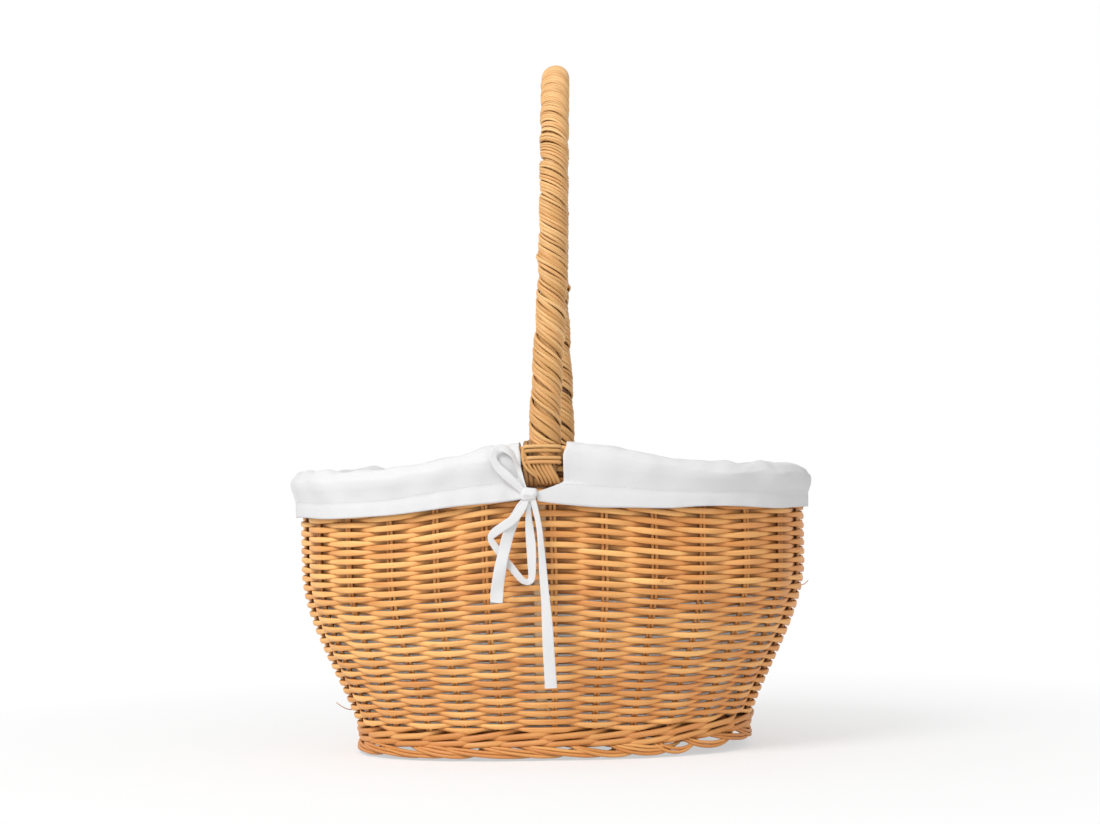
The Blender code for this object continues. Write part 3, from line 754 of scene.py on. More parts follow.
def lay_group(tree, shader, name, maker, values, strength, distance):
    """Takes the shader's colour and bump from a node group with these values, and returns the group."""
    group = put(tree, "ShaderNodeGroup", values, node_tree=bpy.data.node_groups.get(name) or maker())
    relief = {"Height": group.outputs["Height"], "Strength": strength, "Distance": distance}
    join(tree, group.outputs["Colour"], shader.inputs["Base Color"])
    join(tree, put(tree, "ShaderNodeBump", relief).outputs["Normal"], shader.inputs["Normal"])
    return group


def cane_material(name, light, dark, fineness=1.0, relief=0.25, shine=0.5):
    """Split cane between these two colours, with its fibres along each strand and painted shade in the
    hollows between strands.
    """
    material, tree, shader = new_material(name)
    values = {
        "Grain at": attribute(tree, "grain_at", "Vector"),
        "Tone": attribute(tree, "tone", "Fac"),
        "Painted shade": attribute(tree, "painted_shade", "Fac"),
        "Light": (*light, 1),
        "Dark": (*dark, 1),
        "Fineness": fineness,
    }
    group = lay_group(tree, shader, "cane fibre and shade", fibre_and_shade_group, values, relief, 0.0004)
    join(tree, group.outputs["Roughness"], shader.inputs["Roughness"])
    shader.inputs["Specular IOR Level"].default_value = shine
    return material


def cloth_group():
    """The threads of a plain weave and the soft unevenness of washed cotton, on the cloth's own map."""
    tree, given, result = new_tree(
        "plain cotton",
        "ShaderNodeTree",
        [
            ("Cloth at", "NodeSocketVector", None),
            ("Thread", "NodeSocketFloat", 0.00045),
            ("Colour", "NodeSocketColor", (0.86, 0.86, 0.84, 1)),
        ],
        [("Colour", "NodeSocketColor"), ("Height", "NodeSocketFloat")],
    )
    pitch = maths(tree, "DIVIDE", 2 * math.pi, given["Thread"])
    place = put(tree, "ShaderNodeSeparateXYZ", {0: given["Cloth at"]}).outputs
    threads = [maths(tree, "SINE", maths(tree, "MULTIPLY", place[axis], pitch)) for axis in ("X", "Z")]
    weave = maths(tree, "MULTIPLY", *threads)
    soft = put(tree, "ShaderNodeTexNoise", {"Vector": given["Cloth at"], "Scale": 60.0, "Detail": 3.0})
    slub = put(tree, "ShaderNodeTexNoise", {"Vector": given["Cloth at"], "Scale": 900.0, "Detail": 2.0})
    height = maths(tree, "MULTIPLY_ADD", weave, 0.25, maths(tree, "MULTIPLY", soft.outputs["Fac"], 3.0))
    height = maths(tree, "MULTIPLY_ADD", slub.outputs["Fac"], 0.5, height)
    shade = maths(tree, "MULTIPLY_ADD", weave, 0.02, 0.98)
    colour = scaled(tree, given["Colour"], shade)
    join(tree, colour, result["Colour"])
    join(tree, height, result["Height"])
    return tree


def cloth_material(name, colour, thinness=0.0):
    """Matt cotton, which lets more light through the thinner it is."""
    material, tree, shader = new_material(name)
    values = {"Cloth at": attribute(tree, "grain_at", "Vector"), "Colour": (*colour, 1)}
    lay_group(tree, shader, "plain cotton", cloth_group, values, 0.3, 0.0003)
    shader.inputs["Roughness"].default_value = 0.9
    shader.inputs["Sheen Weight"].default_value = 0.15
    shader.inputs["Subsurface Weight"].default_value = thinness
    shader.inputs["Subsurface Radius"].default_value = (1, 1, 1)
    shader.inputs["Subsurface Scale"].default_value = 0.004
    return material


def material_named(name, maker, *values, **more):
    """The material of this name, made when it is first asked for."""
    return bpy.data.materials.get(name) or maker(name, *values, **more)


def honey_cane(settings):
    """The honey-coloured cane of the wall, foot, base and rim."""
    return material_named("honey cane", cane_material, settings.cane_light, settings.cane_dark)


def pale_cane(settings):
    """The paler cane of the handle's wrap and its lashings."""
    colours = settings.wrap_light, settings.wrap_dark
    return material_named("pale cane", cane_material, *colours, fineness=0.45, relief=0.08)


# Woven wall


def wall_columns():
    """Distances round the rim for the points of a row, and its wave: 1 at even stations, -1 at odd ones."""
    distances, waves = [], []
    for i, start in enumerate(STATIONS):
        end = STATIONS[i + 1] if i + 1 < STATION_COUNT else RIM_PERIMETER
        by_handle = [at % STATION_COUNT in (REAR_STATION, FRONT_STATION) for at in (i, i + 1)]
        flats = [HANDLE_FLAT if wide else STATION_FLAT for wide in by_handle]
        along = np.arange(POINTS_PER_GAP) / POINTS_PER_GAP * (end - start)
        share = np.clip((along - flats[0]) / (end - start - sum(flats)), 0, 1)
        distances.append(start + along)
        wave = np.cos(math.pi * share)
        waves.append((1 if i % 2 == 0 else -1) * np.sign(wave) * np.abs(wave) ** WAVE_POWER)
    return np.concatenate(distances), np.concatenate(waves)


def row_heights(rng, distances):
    """The height of every row's middle at every distance, from rows of uneven thickness laid in turn."""
    rows = []
    for _ in range(ROWS):
        rows.append(1 + 0.06 * rng.normal() + ripple(rng, distances, RIM_PERIMETER, range(1, 11), 0.045))
    thickness = np.stack(rows)
    tops = np.cumsum(thickness, axis=0)
    shares = (tops - thickness / 2) / tops[-1]
    shares = shares + ROW_SPREAD_SHARE * (shares**2 - shares)
    return wall_level(turn_at(distances), shares)


def make_weave(settings):
    """The woven rows in bands, each row a closed ring of cane that starts at its own stake."""
    rng = np.random.default_rng(SEED)
    distances, wave = wall_columns()
    turns = turn_at(distances)
    heights = row_heights(rng, distances)
    pitch = np.gradient(heights, axis=0)
    tones = np.clip(rng.normal(0.55, 0.22, ROWS + 1), 0, 1)
    material = honey_cane(settings)
    bounds = np.round(np.linspace(0, ROWS, BANDS + 1)).astype(int)
    for band in range(BANDS):
        guide = Guide()
        for row in range(bounds[band], bounds[band + 1]):
            side = 1 if row % 2 else -1
            points = on_wall(turns, heights[row], WAVE_REACH * side * wave)
            facing = wall_facing(turns, heights[row])
            girth = settings.cane_height * (1.05 - 0.04 * row / ROWS + 0.05 * rng.normal())
            room = pitch[row] * (1.0 + 0.5 * wave**2)
            joint = POINTS_PER_GAP * (2 * int(rng.integers(1, STATION_COUNT // 2)))
            tone = np.full(len(turns), tones[row])
            tone[joint:] = tones[row + 1]
            tone = tone + ripple(rng, distances, RIM_PERIMETER, range(2, 20, 3), 0.12)
            # Painted shade: the rows darken towards the basket's right end, away from the key lamp at the
            # left
            tone = tone - 0.08 - 0.26 * points[:, 0] / RIM_HALF_LENGTH
            # Painted shade where the row passes behind the stakes
            sunk_shade = np.clip(-0.3 - 1.15 * side * wave, 0, 1)
            start = POINTS_PER_GAP * (row % 2)
            points, facing, half_width, tone, sunk_shade = (
                np.roll(values, -start, axis=0)
                for values in (points, facing, np.minimum(girth, room) / 2, tone, sunk_shade)
            )
            guide.add(points, facing, half_width, settings.cane_thickness / 2, tone, closed=True, sunk_shade=sunk_shade)
        for distance, height, reach, rise in STRAY_ENDS.get(band, ()):
            share = np.linspace(0, 1, 9)
            along = turn_at(distance + STRAY_RUN * share)
            points = on_wall(along, height + rise * share**2, STRAY_START + reach * share)
            guide.add(points, wall_facing(along, height), STRAY_HALF_WIDTH, STRAY_HALF_THICKNESS, 0.2)
        names = f"weave_rows_{band + 1}", f"wall_weave_{band + 1}"
        lay_canes(names[0], guide, material, names[1], sides=12, squareness=0.72)


def make_stakes(settings):
    """A pair of thin rods at each station, from the foot to under the rim."""
    rng = np.random.default_rng(SEED + 1)
    guide = Guide()
    radius = settings.rod_size / 2
    for station, distance in enumerate(STATIONS):
        is_handle = station in (REAR_STATION, FRONT_STATION)
        middle = distance + (HANDLE_STAKE_SHIFT if is_handle else 0)
        turn = turn_at(middle)
        top = wall_level(turn, 1) if is_handle else rim_top(turn) - hoop_sink(turn) - STAKE_TOP_GAP
        height = np.linspace(FOOT_HEIGHT, float(top), 34)
        for side in (-1, 1):
            sway = ripple(rng, height, 0.2, (1, 2, 3, 5, 9), STAKE_SWAY)
            points = wall(turn_at(middle + side * settings.rod_size * STAKE_SPREAD + sway), height)
            tone = float(np.clip(rng.normal(0.4, 0.2), 0, 1))
            # Painted shade on the rods, which lie behind the rows
            guide.add(points, wall_facing(turn, height), radius, radius, tone, sunk_shade=0.3)
    nodes = [f"stake_{number + 1:02d}" for number in range(STATION_COUNT)]
    lay_canes("stakes", guide, honey_cane(settings), *nodes)


# Foot and base


def make_wale(settings):
    """Two rounds of three canes, each in front of two stakes and behind the next, rising as they pass."""
    rng = np.random.default_rng(SEED + 2)
    guide = Guide()
    laps = 3 * STATION_COUNT
    places = np.linspace(0, laps, laps * 8, endpoint=False)
    turns = turn_at(distance_of(places))
    for level in range(2):
        phase = (places / 3 + 0.37 * level) % 1
        reach = np.clip(-1.7 * np.cos(2 * math.pi * phase), -1, 1) * WALE_REACH
        is_front = (phase > 0.16) & (phase < 0.84)
        front = np.clip((phase - 0.16) / 0.68, 0, 1)
        behind = np.clip(((phase + 0.5) % 1 - 0.34) / 0.32, 0, 1)
        rise = np.where(is_front, front, 1 - behind) - 0.5
        heights = WALE_LOW + WALE_STEP * (level + rise)
        heights = heights + foot_rise(turns) + ripple(rng, places, laps, range(9, 60, 5), WALE_UNEVENNESS)
        tone = 0.05 + 0.3 * np.tanh(4 * ripple(rng, places, laps, range(1, 9), 1))
        # Painted shade, more where the cane passes behind the stakes
        sunk_shade = np.clip(0.3 - reach / WALE_REACH, 0.3, 1)
        points, facing = on_wall(turns, heights, reach), wall_facing(turns, heights)
        guide.add(points, facing, WALE_HALF_WIDTH, WALE_HALF_THICKNESS, tone, closed=True, sunk_shade=sunk_shade)
    lay_canes("wale", guide, honey_cane(settings), "foot_wale")


# Routes of a border rod from its stake past the next, where the border lies tight and where it hangs loose,
# in stations along, height and reach out
TIGHT_ROUTE = [
    (-0.90, 0.0096, -0.0010),
    (-0.62, 0.0086, 0.0022),
    (-0.30, 0.0074, 0.0041),
    (0.10, 0.0060, 0.0050),
    (0.50, 0.0046, 0.0050),
    (0.90, 0.0033, 0.0043),
    (1.20, 0.0024, 0.0030),
    (1.45, 0.0022, 0.0010),
    (1.62, 0.0034, -0.0012),
    (1.75, 0.0056, -0.0026),
]
LOOSE_ROUTE = [
    (-0.66, 0.0112, -0.0012),
    (-0.52, 0.0090, 0.0020),
    (-0.32, 0.0058, 0.0042),
    (-0.04, 0.0031, 0.0052),
    (0.28, 0.0018, 0.0052),
    (0.60, 0.0022, 0.0046),
    (0.86, 0.0040, 0.0034),
    (1.08, 0.0066, 0.0016),
    (1.24, 0.0090, -0.0008),
    (1.34, 0.0110, -0.0026),
]


def make_border(settings):
    """Rods looped from stake to stake, tight at the left and loose at the right, as the photo shows them."""
    rng = np.random.default_rng(SEED + 3)
    guide = Guide()
    girth = settings.border_rod
    gap = RIM_PERIMETER / STATION_COUNT
    tight, loose = np.array(TIGHT_ROUTE), np.array(LOOSE_ROUTE)
    for station in range(STATION_COUNT):
        across = float(end_share(turn_at(STATIONS[station])))
        looseness = 0.3 + 0.7 * eased(across, -0.05, 0.35)
        looseness = float(np.clip(looseness + 0.25 * rng.normal(), 0, 1))
        sag = BORDER_SAG * (rng.random() - 0.5)
        stretch = 1 + 0.14 * rng.normal()
        route = smooth_route((tight + looseness * (loose - tight)) * (gap, 1, 1), 34)
        share = route[:, 0] / gap
        arch = np.clip(1 - (share / 0.8) ** 2, 0, 1)
        for layer in range(2 + int(rng.random() < 0.2)):
            places = station + stretch * share + 0.06 * layer + 0.02 * rng.normal()
            lift = layer * girth * 0.80 * np.clip(1.35 - np.abs(share - 0.35), 0, 1)
            turns = turn_at(distance_of(places))
            heights = route[:, 1] + lift + sag * arch + foot_rise(turns)
            reach = route[:, 2] - BORDER_LAYER_INSET * layer
            size = girth / 2 * (0.92 + 0.06 * rng.normal())
            tone = float(np.clip(rng.normal(-0.05, 0.35), -0.7, 0.8))
            # Painted shade, more where the rod lies further in
            sunk_shade = np.clip(0.45 - 80 * reach, 0.36, 1)
            guide.add(wall(turns, heights, reach), wall_facing(turns, heights), size, size, tone, sunk_shade=sunk_shade)
    lay_canes("border", guide, honey_cane(settings), "foot_border")


def make_base(settings):
    """The woven oval mat on its spokes, and the split sticks under it."""
    rng = np.random.default_rng(SEED + 4)
    low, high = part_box("base_mat")
    middle = (low.z + high.z) / 2
    step = high.y / (MAT_RINGS + 0.5)

    def plan(turns, inset):
        return oval(turns, high.x - inset, high.y - inset) - (LOW_SHIFT, 0)

    guide = Guide()
    turns = np.linspace(0, 2 * math.pi, STATION_COUNT * 8, endpoint=False)
    lies = turns * STATION_COUNT / (2 * math.pi)
    for ring in range(MAT_RINGS):
        wave = np.cos(math.pi * lies) * (1 if ring % 2 else -1)
        rises = (middle + MAT_WAVE * wave)[:, None]
        points = np.concatenate([plan(turns, (ring + 0.5) * step), rises], axis=1)
        tone = float(np.clip(rng.normal(0.45, 0.18), 0, 1))
        # Painted shade on the ring where its wave rises
        sunk_shade = np.clip(wave, 0, 1) * 0.5
        guide.add(points, (0, 0, 1), step * 0.48, MAT_HALF_THICKNESS, tone, closed=True, sunk_shade=sunk_shade)
    for station in range(STATION_COUNT):
        turn = 2 * math.pi * station / STATION_COUNT
        spoke = np.stack([plan(turn, inset) for inset in np.linspace(0, (MAT_RINGS - 0.5) * step, 12)])
        points = np.concatenate([spoke, np.full((len(spoke), 1), middle)], axis=1)
        guide.add(points, (0, 0, 1), SPOKE_HALF_WIDTH, SPOKE_HALF_THICKNESS, 0.4)
    lay_canes("base_weave", guide, honey_cane(settings), "base_mat", sides=6)
    for number in (1, 2, 3):
        node = f"base_stick_{number}"
        low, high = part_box(node)
        along = np.linspace(low.x, high.x, 24)
        across, up = (low.y + high.y) / 2, (low.z + high.z) / 2
        points = np.stack([along, np.full(24, across), np.full(24, up)], axis=1)
        guide = Guide()
        guide.add(points, (0, 0, 1), (high.y - low.y) / 2, (high.z - low.z) / 2, 0.4)
        lay_canes(f"base_split_{number}", guide, honey_cane(settings), node, sides=12, squareness=0.6)


# Rim and handle


def make_hoops(settings):
    """The flat hoops outside and inside the stakes' tops."""
    turns = turn_at(np.linspace(0, RIM_PERIMETER, 280, endpoint=False))
    sink = hoop_sink(turns)
    height = rim_top(turns) - HOOP_HEIGHT / 2 - sink / 2
    facing = np.concatenate([oval_normal(turns, *half_sizes(height)), np.zeros((len(turns), 1))], axis=1)
    for where, side in (("outer", 1), ("inner", -1)):
        guide = Guide()
        points = wall(turns, height, side * HOOP_OFFSET)
        guide.add(points, side * facing, (HOOP_HEIGHT - sink) / 2, HOOP_THICKNESS / 2, 0.5, closed=True)
        shape = {"sides": 16, "squareness": 0.55, "unevenness": 0.02}
        lay_canes(f"{where}_hoop", guide, honey_cane(settings), f"{where}_rim_hoop", **shape)


def handle_point(distance):
    """The middle of the handle, this far along it from the front lashing to the rear one."""
    distance = np.asarray(distance, float)
    angle = np.clip(distance - LEG_LENGTH, 0, math.pi * ARCH_RADIUS) / ARCH_RADIUS
    down = np.maximum(np.maximum(LEG_LENGTH - distance, distance - HANDLE_LENGTH + LEG_LENGTH), 0)
    y = -ARCH_RADIUS * np.cos(angle)
    z = ARCH_HEIGHT + ARCH_RADIUS * np.sin(angle) - down
    lean = HANDLE_SHIFT + HANDLE_LEAN * (z - LEG_BOTTOM) / (HANDLE_TOP - LEG_BOTTOM)
    skew = HANDLE_SKEW_SHARE * eased(z, LEG_BOTTOM, LEG_BOTTOM + SKEW_RISE)
    return np.stack([lean - y * skew, y, z], axis=-1)


def handle_frame(distance):
    """The middle of the handle there, the direction out of the arch, and the direction to its side."""
    step = CORE_RADIUS / 4
    along = unit(handle_point(distance + step) - handle_point(distance - step))
    side = unit(np.array([1.0, 0, 0]) - along * along[..., :1])
    return handle_point(distance), np.cross(side, along), side


def wrap_turns():
    """Distances along the handle, and how many loops the wrap has made at each."""
    along = np.linspace(0, HANDLE_LENGTH, FINE_STEPS)
    from_top = np.abs(along / HANDLE_LENGTH - 0.5) * 2
    rise = np.clip((from_top - WRAP_EVEN_SHARE) / (1 - WRAP_EVEN_SHARE), 0, 1)
    shape = 1 + (WRAP_BASE_PITCH_SHARE - 1) * rise
    turns = np.concatenate([[0], np.cumsum((1 / shape[:-1] + 1 / shape[1:]) / 2)])
    return along, turns * WRAP_LOOPS / turns[-1]


def make_wrap(settings):
    """The bundle of strands wound round the handle over a thin sleeve, with a few loose fibres."""
    rng = np.random.default_rng(SEED + 5)
    along, turns = wrap_turns()
    strands = settings.wrap_strands
    turned = np.linspace(-0.5, WRAP_LOOPS + 0.5, (WRAP_LOOPS + 1) * POINTS_PER_LOOP)
    guide = Guide()
    sleeve = np.linspace(SLEEVE_INSET, HANDLE_LENGTH - SLEEVE_INSET, 110)
    middle, out, _ = handle_frame(sleeve)
    radius = SLEEVE_RADIUS + FOOT_SWELL * (sleeve / HANDLE_LENGTH * 2 - 1) ** 2
    # Painted shade on the sleeve, which shows only in the gaps of the wrap
    guide.add(middle, out, radius, radius, 0.1, sunk_shade=0.4)
    for strand in range(strands):
        crowd = (strand + 0.5) / strands - 0.5
        wander = ripple(rng, turned, WRAP_LOOPS, range(3, 34, 4), 0.27 / strands)
        at = turned + crowd * 0.98 + wander
        distance = np.interp(at, turns, along)
        distance = distance + 0.03 * (np.minimum(at, 0) + np.maximum(at - WRAP_LOOPS, 0))
        middle, out, side = handle_frame(distance)
        angle = (2 * math.pi * turned)[:, None]
        radial = out * np.cos(angle) - side * np.sin(angle)
        low_share = np.clip(np.abs(distance / HANDLE_LENGTH - 0.5) * 2, 0, 1) ** 2
        crown = BUNDLE_CROWN * math.cos(math.pi * crowd * 0.85) + BUNDLE_TILT * crowd
        radius = WRAP_RADIUS + crown + FOOT_SWELL * low_share
        radius = radius + ripple(rng, turned, WRAP_LOOPS, range(5, 60, 7), STRAND_UNEVENNESS)
        for place in LIFTED_STRANDS.get(strand, ()):
            radius = radius + STRAND_LIFT * np.exp(-(((turned - place) / 0.12) ** 2))
        pitch = np.gradient(distance, turned)
        slope = np.arctan2(pitch, 2 * math.pi * radius)
        width_share = 0.5 + 0.06 * rng.normal() + ripple(rng, turned, WRAP_LOOPS, range(2, 30, 3), 0.04)
        half_width = np.maximum(pitch * np.cos(slope) / strands * width_share, STRAND_LEAST_HALF)
        tone = 0.6 + 0.25 * rng.normal() + ripple(rng, turned, WRAP_LOOPS, range(2, 30, 3), 0.15)
        tone = tone - 0.4 * low_share
        # Painted shade, more on the strands at the bundle's edges
        sunk_shade = 0.08 + max(0.14 - 160 * crown, 0)
        points = middle + radial * radius[:, None]
        guide.add(points, radial, half_width, WRAP_HALF_THICKNESS, tone, sunk_shade=sunk_shade)
    for distance, turn, size in LOOSE_FIBRES:
        middle, out, side = handle_frame(distance)
        radial = out * math.cos(turn) - side * math.sin(turn)
        share = np.linspace(0, 1, 9)[:, None]
        reach = FIBRE_START + size * share
        droop = np.array([0, 0, 0.35 * size]) * share**2
        points = middle + radial * reach + droop
        guide.add(points, side + 0.1 * radial, FIBRE_HALF_WIDTH, FIBRE_HALF_THICKNESS, 0.6)
    lay_canes("handle_strands", guide, pale_cane(settings), "handle_wrap", sides=10, unevenness=0.08)


def tongue_points(front):
    """The middle of the flat tongue, from its tip in the wall up to the rim."""
    height = np.linspace(WALL_BOTTOM, RIM_AT_HANDLE, 30)
    slant = TONGUE_SLANT * np.clip((RIM_AT_HANDLE - height) / RIM_AT_HANDLE, 0, 1)
    points = np.stack([-TONGUE_SHIFT - slant, -half_sizes(height)[1], height], axis=1)
    return points if front else points * (-1, -1, 1)


def make_core(settings):
    """The peeled rod of the handle, round over the arch and pared to flat tongues inside the wall."""
    along = np.linspace(CORE_INSET, HANDLE_LENGTH - CORE_INSET, 120)
    middle, out, _ = handle_frame(along)
    front, rear = tongue_points(True), tongue_points(False)[::-1]
    facing = [np.tile((0, -1, 0), (len(front), 1)), out, np.tile((0, 1, 0), (len(rear), 1))]
    is_round = np.concatenate([np.zeros(len(front)), np.ones(len(along)), np.zeros(len(rear))]) > 0
    half_width = np.where(is_round, CORE_RADIUS, TONGUE_HALF_WIDTH)
    half_thickness = np.where(is_round, CORE_RADIUS, TONGUE_HALF_THICKNESS)
    guide = Guide()
    guide.add(np.concatenate([front, middle, rear]), np.concatenate(facing), half_width, half_thickness, 0.5)
    material = material_named("peeled rod", cane_material, settings.rod_light, settings.rod_dark, shine=0.3)
    lay_canes("handle_rod", guide, material, "handle_core", slot="handle_rod", sides=16, unevenness=0.03)


# Routes of the lashing's strands, in millimetres across, out from the wall, and up from the lashing's top
BOUND_TURN = [
    (0.0, 3.0, -0.6),
    (0.0, 7.2, -4.0),
    (-0.8, 7.6, -15.0),
    (0.0, 6.8, -27.0),
    (0.0, 3.0, -30.0),
    (1.2, -3.0, -30.0),
    (1.4, -7.2, -27.0),
    (1.8, -7.2, -4.0),
    (2.4, -3.0, -0.6),
]
CROSS_BAND = [
    (-11.2, 6.0, -1.4),
    (-12.4, 8.4, -0.8),
    (-10.4, 10.2, 0.0),
    (-3.0, 10.7, 0.3),
    (4.0, 10.6, 0.2),
    (10.4, 10.1, -0.1),
    (12.2, 8.4, -0.4),
    (11.2, 6.0, -0.8),
]
LEFT_LOOP = [
    (-10.0, 7.5, -3.0),
    (-12.6, 10.0, -6.0),
    (-12.6, 10.4, -13.0),
    (-10.6, 10.6, -18.0),
    (-7.2, 10.0, -21.8),
    (-3.0, 8.0, -25.0),
]
# The same of a diagonal, with the share of the way from its start to its end in place of across
DIAGONAL = [
    (0.0, 6.8, -10.0),
    (0.15, 9.0, -15.0),
    (0.45, 9.6, -20.0),
    (0.80, 9.3, -25.0),
    (1.0, 7.0, -29.2),
]
# How far under the lashing's top each cross band lies, and its tone
CROSS_BANDS = [(4.2, 0.35), (7.1, 0.0), (11.9, 0.25), (14.7, -0.2)]


def make_lashings(settings):
    """Strands bound round the rim at each end of the handle, front and rear alike."""
    rng = np.random.default_rng(SEED + 10)
    for where, side in (("front", -1), ("rear", 1)):
        guide = Guide()

        # Painted shade on each strand, heaviest on the bound turns that lie under the rest
        def strand(route, half_width, tone, count=30, half_thickness=1.0, sunk_shade=0.22):
            across, reach, height = smooth_route(route, count).T / 1000
            height = height + LASH_TOP
            points = np.stack([across, -reach - RIM_HALF_WIDTH, height], axis=1) * (-side, -side, 1)
            tilt = 0.35 * (height - LASH_MIDDLE)
            looks = unit(np.stack([0 * across, side * reach, tilt], axis=1))
            guide.add(points, looks, half_width / 1000, half_thickness / 1000, tone, sunk_shade=sunk_shade)

        turns = [np.array(BOUND_TURN) + (3.2 * number - 10.8, 0, 0) for number in range(7)]
        strand(np.concatenate(turns), 1.7, -0.4, 280, 0.8, 0.85)
        for number in range(6):
            route = np.array(DIAGONAL)
            start, end = 2.7 * number - 10.4, 2.6 * number - 2.0
            route[:, 0] = start + (end - start) * route[:, 0]
            route[0, 0] -= 1.2
            strand(route, 1.0 + 0.09 * number, 0.16 * number - 0.8, sunk_shade=0.35 + 0.15 * float(rng.random()))
        for down, tone in CROSS_BANDS:
            strand(np.array(CROSS_BAND) - (0, 0, down), 1.35, tone, 34)
        for shift, tone in ((0.0, 0.1), (2.7, -0.4)):
            route = np.array(LEFT_LOOP)
            route[2:, 0] += shift
            strand(route, 1.1, tone)
        lay_canes(f"{where}_binding", guide, pale_cane(settings), f"{where}_lashing", unevenness=0.08)


# Cloth


def cloth_mesh(name, grid, thickness, wrap=False, cap=False):
    """A closed thin sheet through a grid of points, whose other face lies this far along its normals."""
    rows, columns = grid.shape[:2]
    if wrap:
        around = np.concatenate([grid[:, -1:], grid, grid[:, :1]], axis=1)
        du = around[:, 2:] - around[:, :-2]
    else:
        du = np.gradient(grid, axis=1)
    normal = unit(np.cross(du, np.gradient(grid, axis=0)))
    lengths = np.linalg.norm(np.diff(grid, axis=1), axis=2).mean(axis=0)
    u = np.concatenate([[0], np.cumsum(lengths), [lengths.sum() + lengths[-1]]])
    v = np.concatenate([[0], np.cumsum(np.linalg.norm(np.diff(grid, axis=0), axis=2).mean(axis=1))])
    bm = bmesh.new()
    laid = bm.loops.layers.float_vector.new("grain_at")
    layers = grid, grid + normal * thickness
    sides = [[[bm.verts.new(point) for point in row] for row in side] for side in layers]

    def face(corners):
        made = bm.faces.new([sides[side][i][j % columns] for side, i, j in corners])
        for loop, (_, i, j) in zip(made.loops, corners):
            loop[laid] = (u[j], 0, v[i])

    last = columns if wrap else columns - 1
    for i in range(rows - 1):
        for j in range(last):
            face([(0, i, j), (0, i, j + 1), (0, i + 1, j + 1), (0, i + 1, j)])
            face([(1, i + 1, j), (1, i + 1, j + 1), (1, i, j + 1), (1, i, j)])
    for i in [0] if cap else [0, rows - 1]:
        for j in range(last):
            face([(0, i, j), (1, i, j), (1, i, j + 1), (0, i, j + 1)])
    if cap:
        for side in (0, 1):
            bm.faces.new(sides[side][-1])
    if not wrap:
        for j in (0, columns - 1):
            for i in range(rows - 1):
                face([(0, i, j), (0, i + 1, j), (1, i + 1, j), (1, i, j)])
    return closed_mesh(name, bm)


def closed_mesh(name, bm):
    """The smooth mesh of a closed shape, with its faces pointing outwards."""
    bmesh.ops.recalc_face_normals(bm, faces=bm.faces)
    mesh = bpy.data.meshes.new(name)
    bm.to_mesh(mesh)
    bm.free()
    mesh.shade_smooth()
    return mesh


def sew(name, grid, material, **more):
    """A piece of cloth through a grid of points."""
    mesh = cloth_mesh(name, grid, CLOTH_THICKNESS, **more)
    mesh.materials.append(material)
    return linked(name, mesh)


def handle_pull_share(distance):
    """1 at the handle's stations, 0 away from them."""
    found = 0
    for station in (REAR_STATION, FRONT_STATION):
        away = np.abs(distance - STATIONS[station])
        found = found + np.clip(1 - np.maximum(away - NOTCH_HALF, 0) / PULL_FADE, 0, 1)
    return eased(found, 0, 1)


def make_bag(settings):
    """The bag inside the wall, which hangs from the rim, turns in at the bottom and lies on the base."""
    rng = np.random.default_rng(SEED + 6)
    distances = np.linspace(0, RIM_PERIMETER, 360, endpoint=False)
    turns = turn_at(distances)
    pull = HANDLE_PULL * handle_pull_share(distances)
    folds = ripple(rng, distances, RIM_PERIMETER, range(9, 40, 3), 0.5)
    low = BAG_FLOOR + BAG_CORNER
    top = rim_top(turns) - BAG_TOP_DROP
    rings = []
    for share in np.linspace(1, 0, 26) ** 0.9:
        height = low + share * (top - BAG_FLOOR - BAG_CORNER)
        sag = BAG_SAG * np.clip(folds, -0.2, 1.5) * math.sin(math.pi * share) ** 0.5
        inset = HOOP_REACH + CLOTH_GAP + pull - BAG_CLOSER * (1 - eased(height, *BAG_CLOSER_FADE))
        rings.append(wall(turns, height, -inset - np.maximum(sag, 0)))
    corner = rings[-1]
    for angle in np.linspace(0.2, 1, 5) * math.pi / 2:
        ring = wall(turns, corner[:, 2], -inset - BAG_CORNER * (1 - math.cos(angle)))
        ring[:, 2] = corner[:, 2] - BAG_CORNER * math.sin(angle)
        rings.append(ring)
    edge = rings[-1]
    for share in np.linspace(0.94, 0.02, 18):
        creases = BAG_FLOOR_CREASE * ripple(rng, distances, RIM_PERIMETER, range(2, 9), 1).clip(0, 2)
        ring = edge * (share, share, 1)
        ring[:, 2] = edge[:, 2] + creases * share
        rings.append(ring)
    cotton = material_named("thin cotton", cloth_material, settings.bag_colour, 1.0)
    bag = sew("bag", np.stack(rings), cotton, wrap=True, cap=True)
    place_piece(bag, "liner", "cotton", "liner_bag")


def cuff_profile(turns, fold, puff, hem_lift):
    """Places across and up for each turn, from the cuff's inner edge over the rim to its hem."""
    top = rim_top(turns)
    hem = HEM_END_HEIGHT + HEM_RISE * saddle_share(turns) + hem_lift
    near = HOOP_REACH + CLOTH_GAP
    drop = top - hem
    swell = CLOTH_GAP + 0.0010 * puff
    return [
        (-near, top - 0.016),
        (-near, top - 0.006),
        (-near * 0.92, top - 0.0008),
        (-near * 0.5, top + swell),
        (near * 0.15, top + swell + 0.0003),
        (near * 0.8, top + swell * 0.5),
        (near + 0.0016 + 0.0006 * puff, top - 0.0036),
        (near + 0.0022 + 0.0011 * puff, top - drop * 0.20),
        (near + 0.0021 + 0.0010 * puff, top - drop * 0.33),
        (near + 0.0014 + 0.0006 * puff, top - drop * 0.47),
        (near + 0.0010 + 0.0002 * puff, top - drop * 0.58),
        (near + 0.0005 + 0.3 * fold, top - drop * 0.68),
        (near + 0.0006 + 0.6 * fold, top - drop * 0.80),
        (near + 0.0003 + fold, hem),
    ]


def humps(distances, listed):
    """The sum of smooth humps, each given by its place, height and breadth."""
    total = 0 * distances
    for at, size, width in listed:
        total = total + size * np.exp(-(((distances - at) / width) ** 2))
    return total


